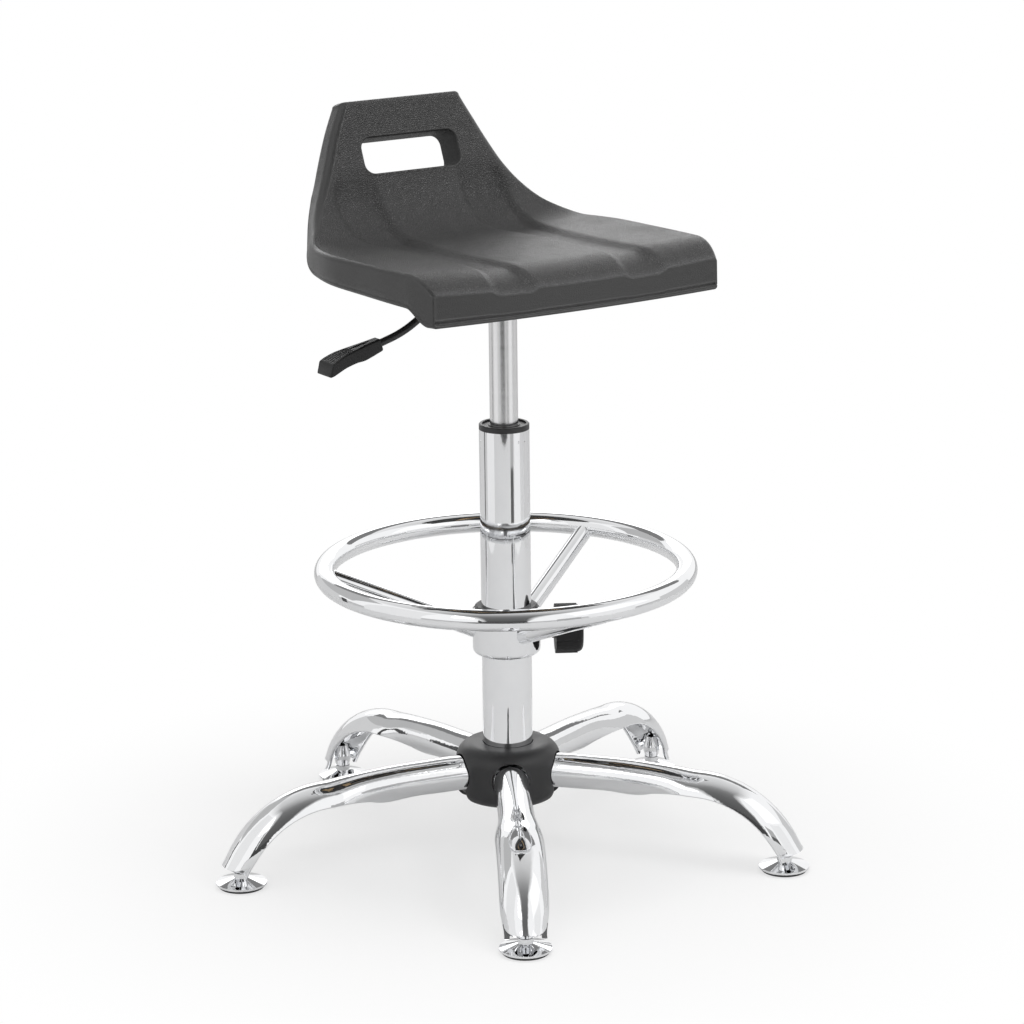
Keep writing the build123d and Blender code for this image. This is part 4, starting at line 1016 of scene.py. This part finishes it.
def tint(tree, fac, first, second):
    """Colour between two colours."""
    node = add(tree, "ShaderNodeMix", data_type="RGBA")
    tree.links.new(fac, node.inputs["Factor"])
    node.inputs["A"].default_value = (*first, 1)
    node.inputs["B"].default_value = (*second, 1)
    return node.outputs["Result"]


def overlay(tree, fac, below, colour):
    """Colour laid over another where a mask asks for it."""
    node = add(tree, "ShaderNodeMix", data_type="RGBA")
    tree.links.new(fac, node.inputs["Factor"])
    tree.links.new(below, node.inputs["A"])
    node.inputs["B"].default_value = (*colour, 1)
    return node.outputs["Result"]


def relief(tree, shader, height, distance):
    """Fine relief of a surface; distance in metres."""
    node = add(tree, "ShaderNodeBump")
    node.inputs["Distance"].default_value = distance
    node.inputs["Strength"].default_value = 1.0
    tree.links.new(height, node.inputs["Height"])
    tree.links.new(node.outputs[0], shader.inputs["Normal"])


# Moulded seat skin
seat_look, tree, shader, spot = surface("seat_skin", 0.0, 0.8)
grain = use_effect(tree, leather, spot)
worn = use_effect(tree, marks, spot)
rub = use_effect(tree, edges, spot)
depth = add(tree, "ShaderNodeAttribute", attribute_name="grain").outputs["Fac"]
# the creases between the pebbles are painted darker: painted shade in the creases
crease_shade = combine(tree, "MULTIPLY", grain["Crease"], depth)
# the colour goes darker where the grain is shallow, on the edges, the front and side faces and the underside:
# painted shade
ground_with_face_shade = tint(tree, depth, (0.001, 0.001, 0.001), (0.066, 0.0645, 0.064))
skin = overlay(tree, crease_shade, ground_with_face_shade, (0.010, 0.010, 0.0103))
# a paler tint along the front edge is a painted highlight; the paler convex edges from edge_rub are rubbed wear
front_highlight_mask = add(tree, "ShaderNodeAttribute", attribute_name="front_edge").outputs["Fac"]
wear_and_highlight_mask = combine(
    tree, "ADD", combine(tree, "MULTIPLY", rub["Mask"], 0.35), combine(tree, "MULTIPLY", front_highlight_mask, 0.9),
)
wear_and_highlight_colour = overlay(tree, wear_and_highlight_mask, skin, (0.075, 0.075, 0.077))
# the walls of the hand slot are painted darker and made rougher: painted shade in the slot
slot_shade_mask = add(tree, "ShaderNodeAttribute", attribute_name="slot_wall_shade").outputs["Fac"]
tree.links.new(overlay(tree, slot_shade_mask, wear_and_highlight_colour, (0.006, 0.006, 0.0062)), shader.inputs["Base Color"])
handled = spread(tree, worn["Smudge"], 0, 1, -0.03, 0.04)
gloss = combine(tree, "ADD", handled, spread(tree, depth, 0.2, 1, 0.33, 0.42))
tree.links.new(combine(tree, "ADD", gloss, combine(tree, "MULTIPLY", slot_shade_mask, 0.3)), shader.inputs["Roughness"])
relief(tree, shader, combine(tree, "MULTIPLY", grain["Height"], depth), 0.0007)

# Polished chrome
chrome_look, tree, shader, spot = surface("chrome_plate", 1.0)
worn = use_effect(tree, marks, spot)
plate = tint(tree, worn["Smudge"], (0.90, 0.905, 0.915), (0.865, 0.872, 0.885))
tree.links.new(plate, shader.inputs["Base Color"])
haze = spread(tree, worn["Smudge"], 0, 1, 0.035, 0.065)
dull = combine(tree, "ADD", haze, combine(tree, "MULTIPLY", worn["Scratch"], 0.05))
tree.links.new(dull, shader.inputs["Roughness"])
relief(tree, shader, noise(tree, spot, 60, 2), 0.000008)

# Ground satin steel of the gas lift
satin_look, tree, shader, spot = surface("ground_steel", 1.0)
line = use_effect(tree, turned, spot)
worn = use_effect(tree, marks, spot)
tree.links.new(tint(tree, line["Band"], (0.80, 0.80, 0.805), (0.88, 0.88, 0.885)), shader.inputs["Base Color"])
tree.links.new(spread(tree, line["Band"], 0.3, 0.7, 0.19, 0.26), shader.inputs["Roughness"])
relief(tree, shader, line["Height"], 0.00001)

# Zinc-plated inner steel
zinc_look, tree, shader, spot = surface("zinc_steel", 1.0)
worn = use_effect(tree, marks, spot)
grit = use_effect(tree, speckle, spot)
tree.links.new(tint(tree, grit["Mottle"], (0.50, 0.51, 0.53), (0.62, 0.62, 0.61)), shader.inputs["Base Color"])
tree.links.new(spread(tree, worn["Smudge"], 0, 1, 0.28, 0.42), shader.inputs["Roughness"])
relief(tree, shader, grit["Height"], 0.00002)


def black_surface(name, dark, pale, rough_low, rough_high, grain_depth, specular=0.5):
    """Black moulded or painted surface with fine texture, rubbed edges and soft smudges."""
    made, tree, shader, spot = surface(name, 0.0, specular)
    grit = use_effect(tree, speckle, spot)
    worn = use_effect(tree, marks, spot)
    rub = use_effect(tree, edges, spot)
    coat = tint(tree, grit["Mottle"], dark, pale)
    edge = overlay(tree, combine(tree, "MULTIPLY", rub["Mask"], 0.3), coat, [2.4 * part for part in pale])
    tree.links.new(edge, shader.inputs["Base Color"])
    tree.links.new(spread(tree, worn["Smudge"], 0, 1, rough_low, rough_high), shader.inputs["Roughness"])
    relief(tree, shader, grit["Height"], grain_depth)
    return made


plastic_look = black_surface("black_plastic", (0.017, 0.017, 0.018), (0.024, 0.024, 0.025), 0.38, 0.48, 0.00006)
knob_look = black_surface(
    "knob_plastic", (0.006, 0.006, 0.0065), (0.009, 0.009, 0.0095), 0.46, 0.56, 0.00010, 0.3,
)
paint_look = black_surface("black_paint", (0.014, 0.014, 0.015), (0.019, 0.019, 0.020), 0.32, 0.42, 0.00012)
grip_look = black_surface(
    "grip_plastic", (0.009, 0.009, 0.0095), (0.014, 0.014, 0.0145), 0.40, 0.50, 0.000008, 0.35,
)
rubber_look = black_surface("black_rubber", (0.018, 0.018, 0.018), (0.028, 0.028, 0.027), 0.62, 0.75, 0.00010)

# Brass
brass_look, tree, shader, spot = surface("turned_brass", 1.0)
worn = use_effect(tree, marks, spot)
tree.links.new(tint(tree, worn["Smudge"], (0.72, 0.53, 0.23), (0.55, 0.40, 0.18)), shader.inputs["Base Color"])
tree.links.new(spread(tree, worn["Smudge"], 0, 1, 0.22, 0.4), shader.inputs["Roughness"])

# Plywood board
wood_look, tree, shader, spot = surface("plywood", 0.0, 0.3)
fibre = add(tree, "ShaderNodeMapping")
fibre.inputs["Scale"].default_value = (12, 160, 160)
tree.links.new(spot, fibre.inputs["Vector"])
streak = noise(tree, fibre.outputs["Vector"], 1.0, 4)
tree.links.new(tint(tree, streak, (0.42, 0.28, 0.15), (0.62, 0.46, 0.28)), shader.inputs["Base Color"])
tree.links.new(spread(tree, streak, 0.3, 0.7, 0.55, 0.75), shader.inputs["Roughness"])
relief(tree, shader, streak, 0.0001)

looks = {
    "chrome": chrome_look, "steel": zinc_look, "black_steel": paint_look, "black_plastic": plastic_look,
    "brass": brass_look, "rubber": rubber_look, "foam": seat_look, "wood": wood_look,
}
own_looks = {
    "gas_cylinder": satin_look, "clamp_knob": knob_look, "piston_rod": satin_look, "lever_grip": grip_look,
}


def dress(piece, look):
    """Gives a piece its one finish."""
    piece.data.materials.clear()
    piece.data.materials.append(look)


for sub in frame["record"]["subparts"]:
    dress(nodes[sub["node"]], own_looks.get(sub["node"], looks[sub["material_slot"]]))
dress(moulded_seat, seat_look)
dress(shaped_grip, grip_look)
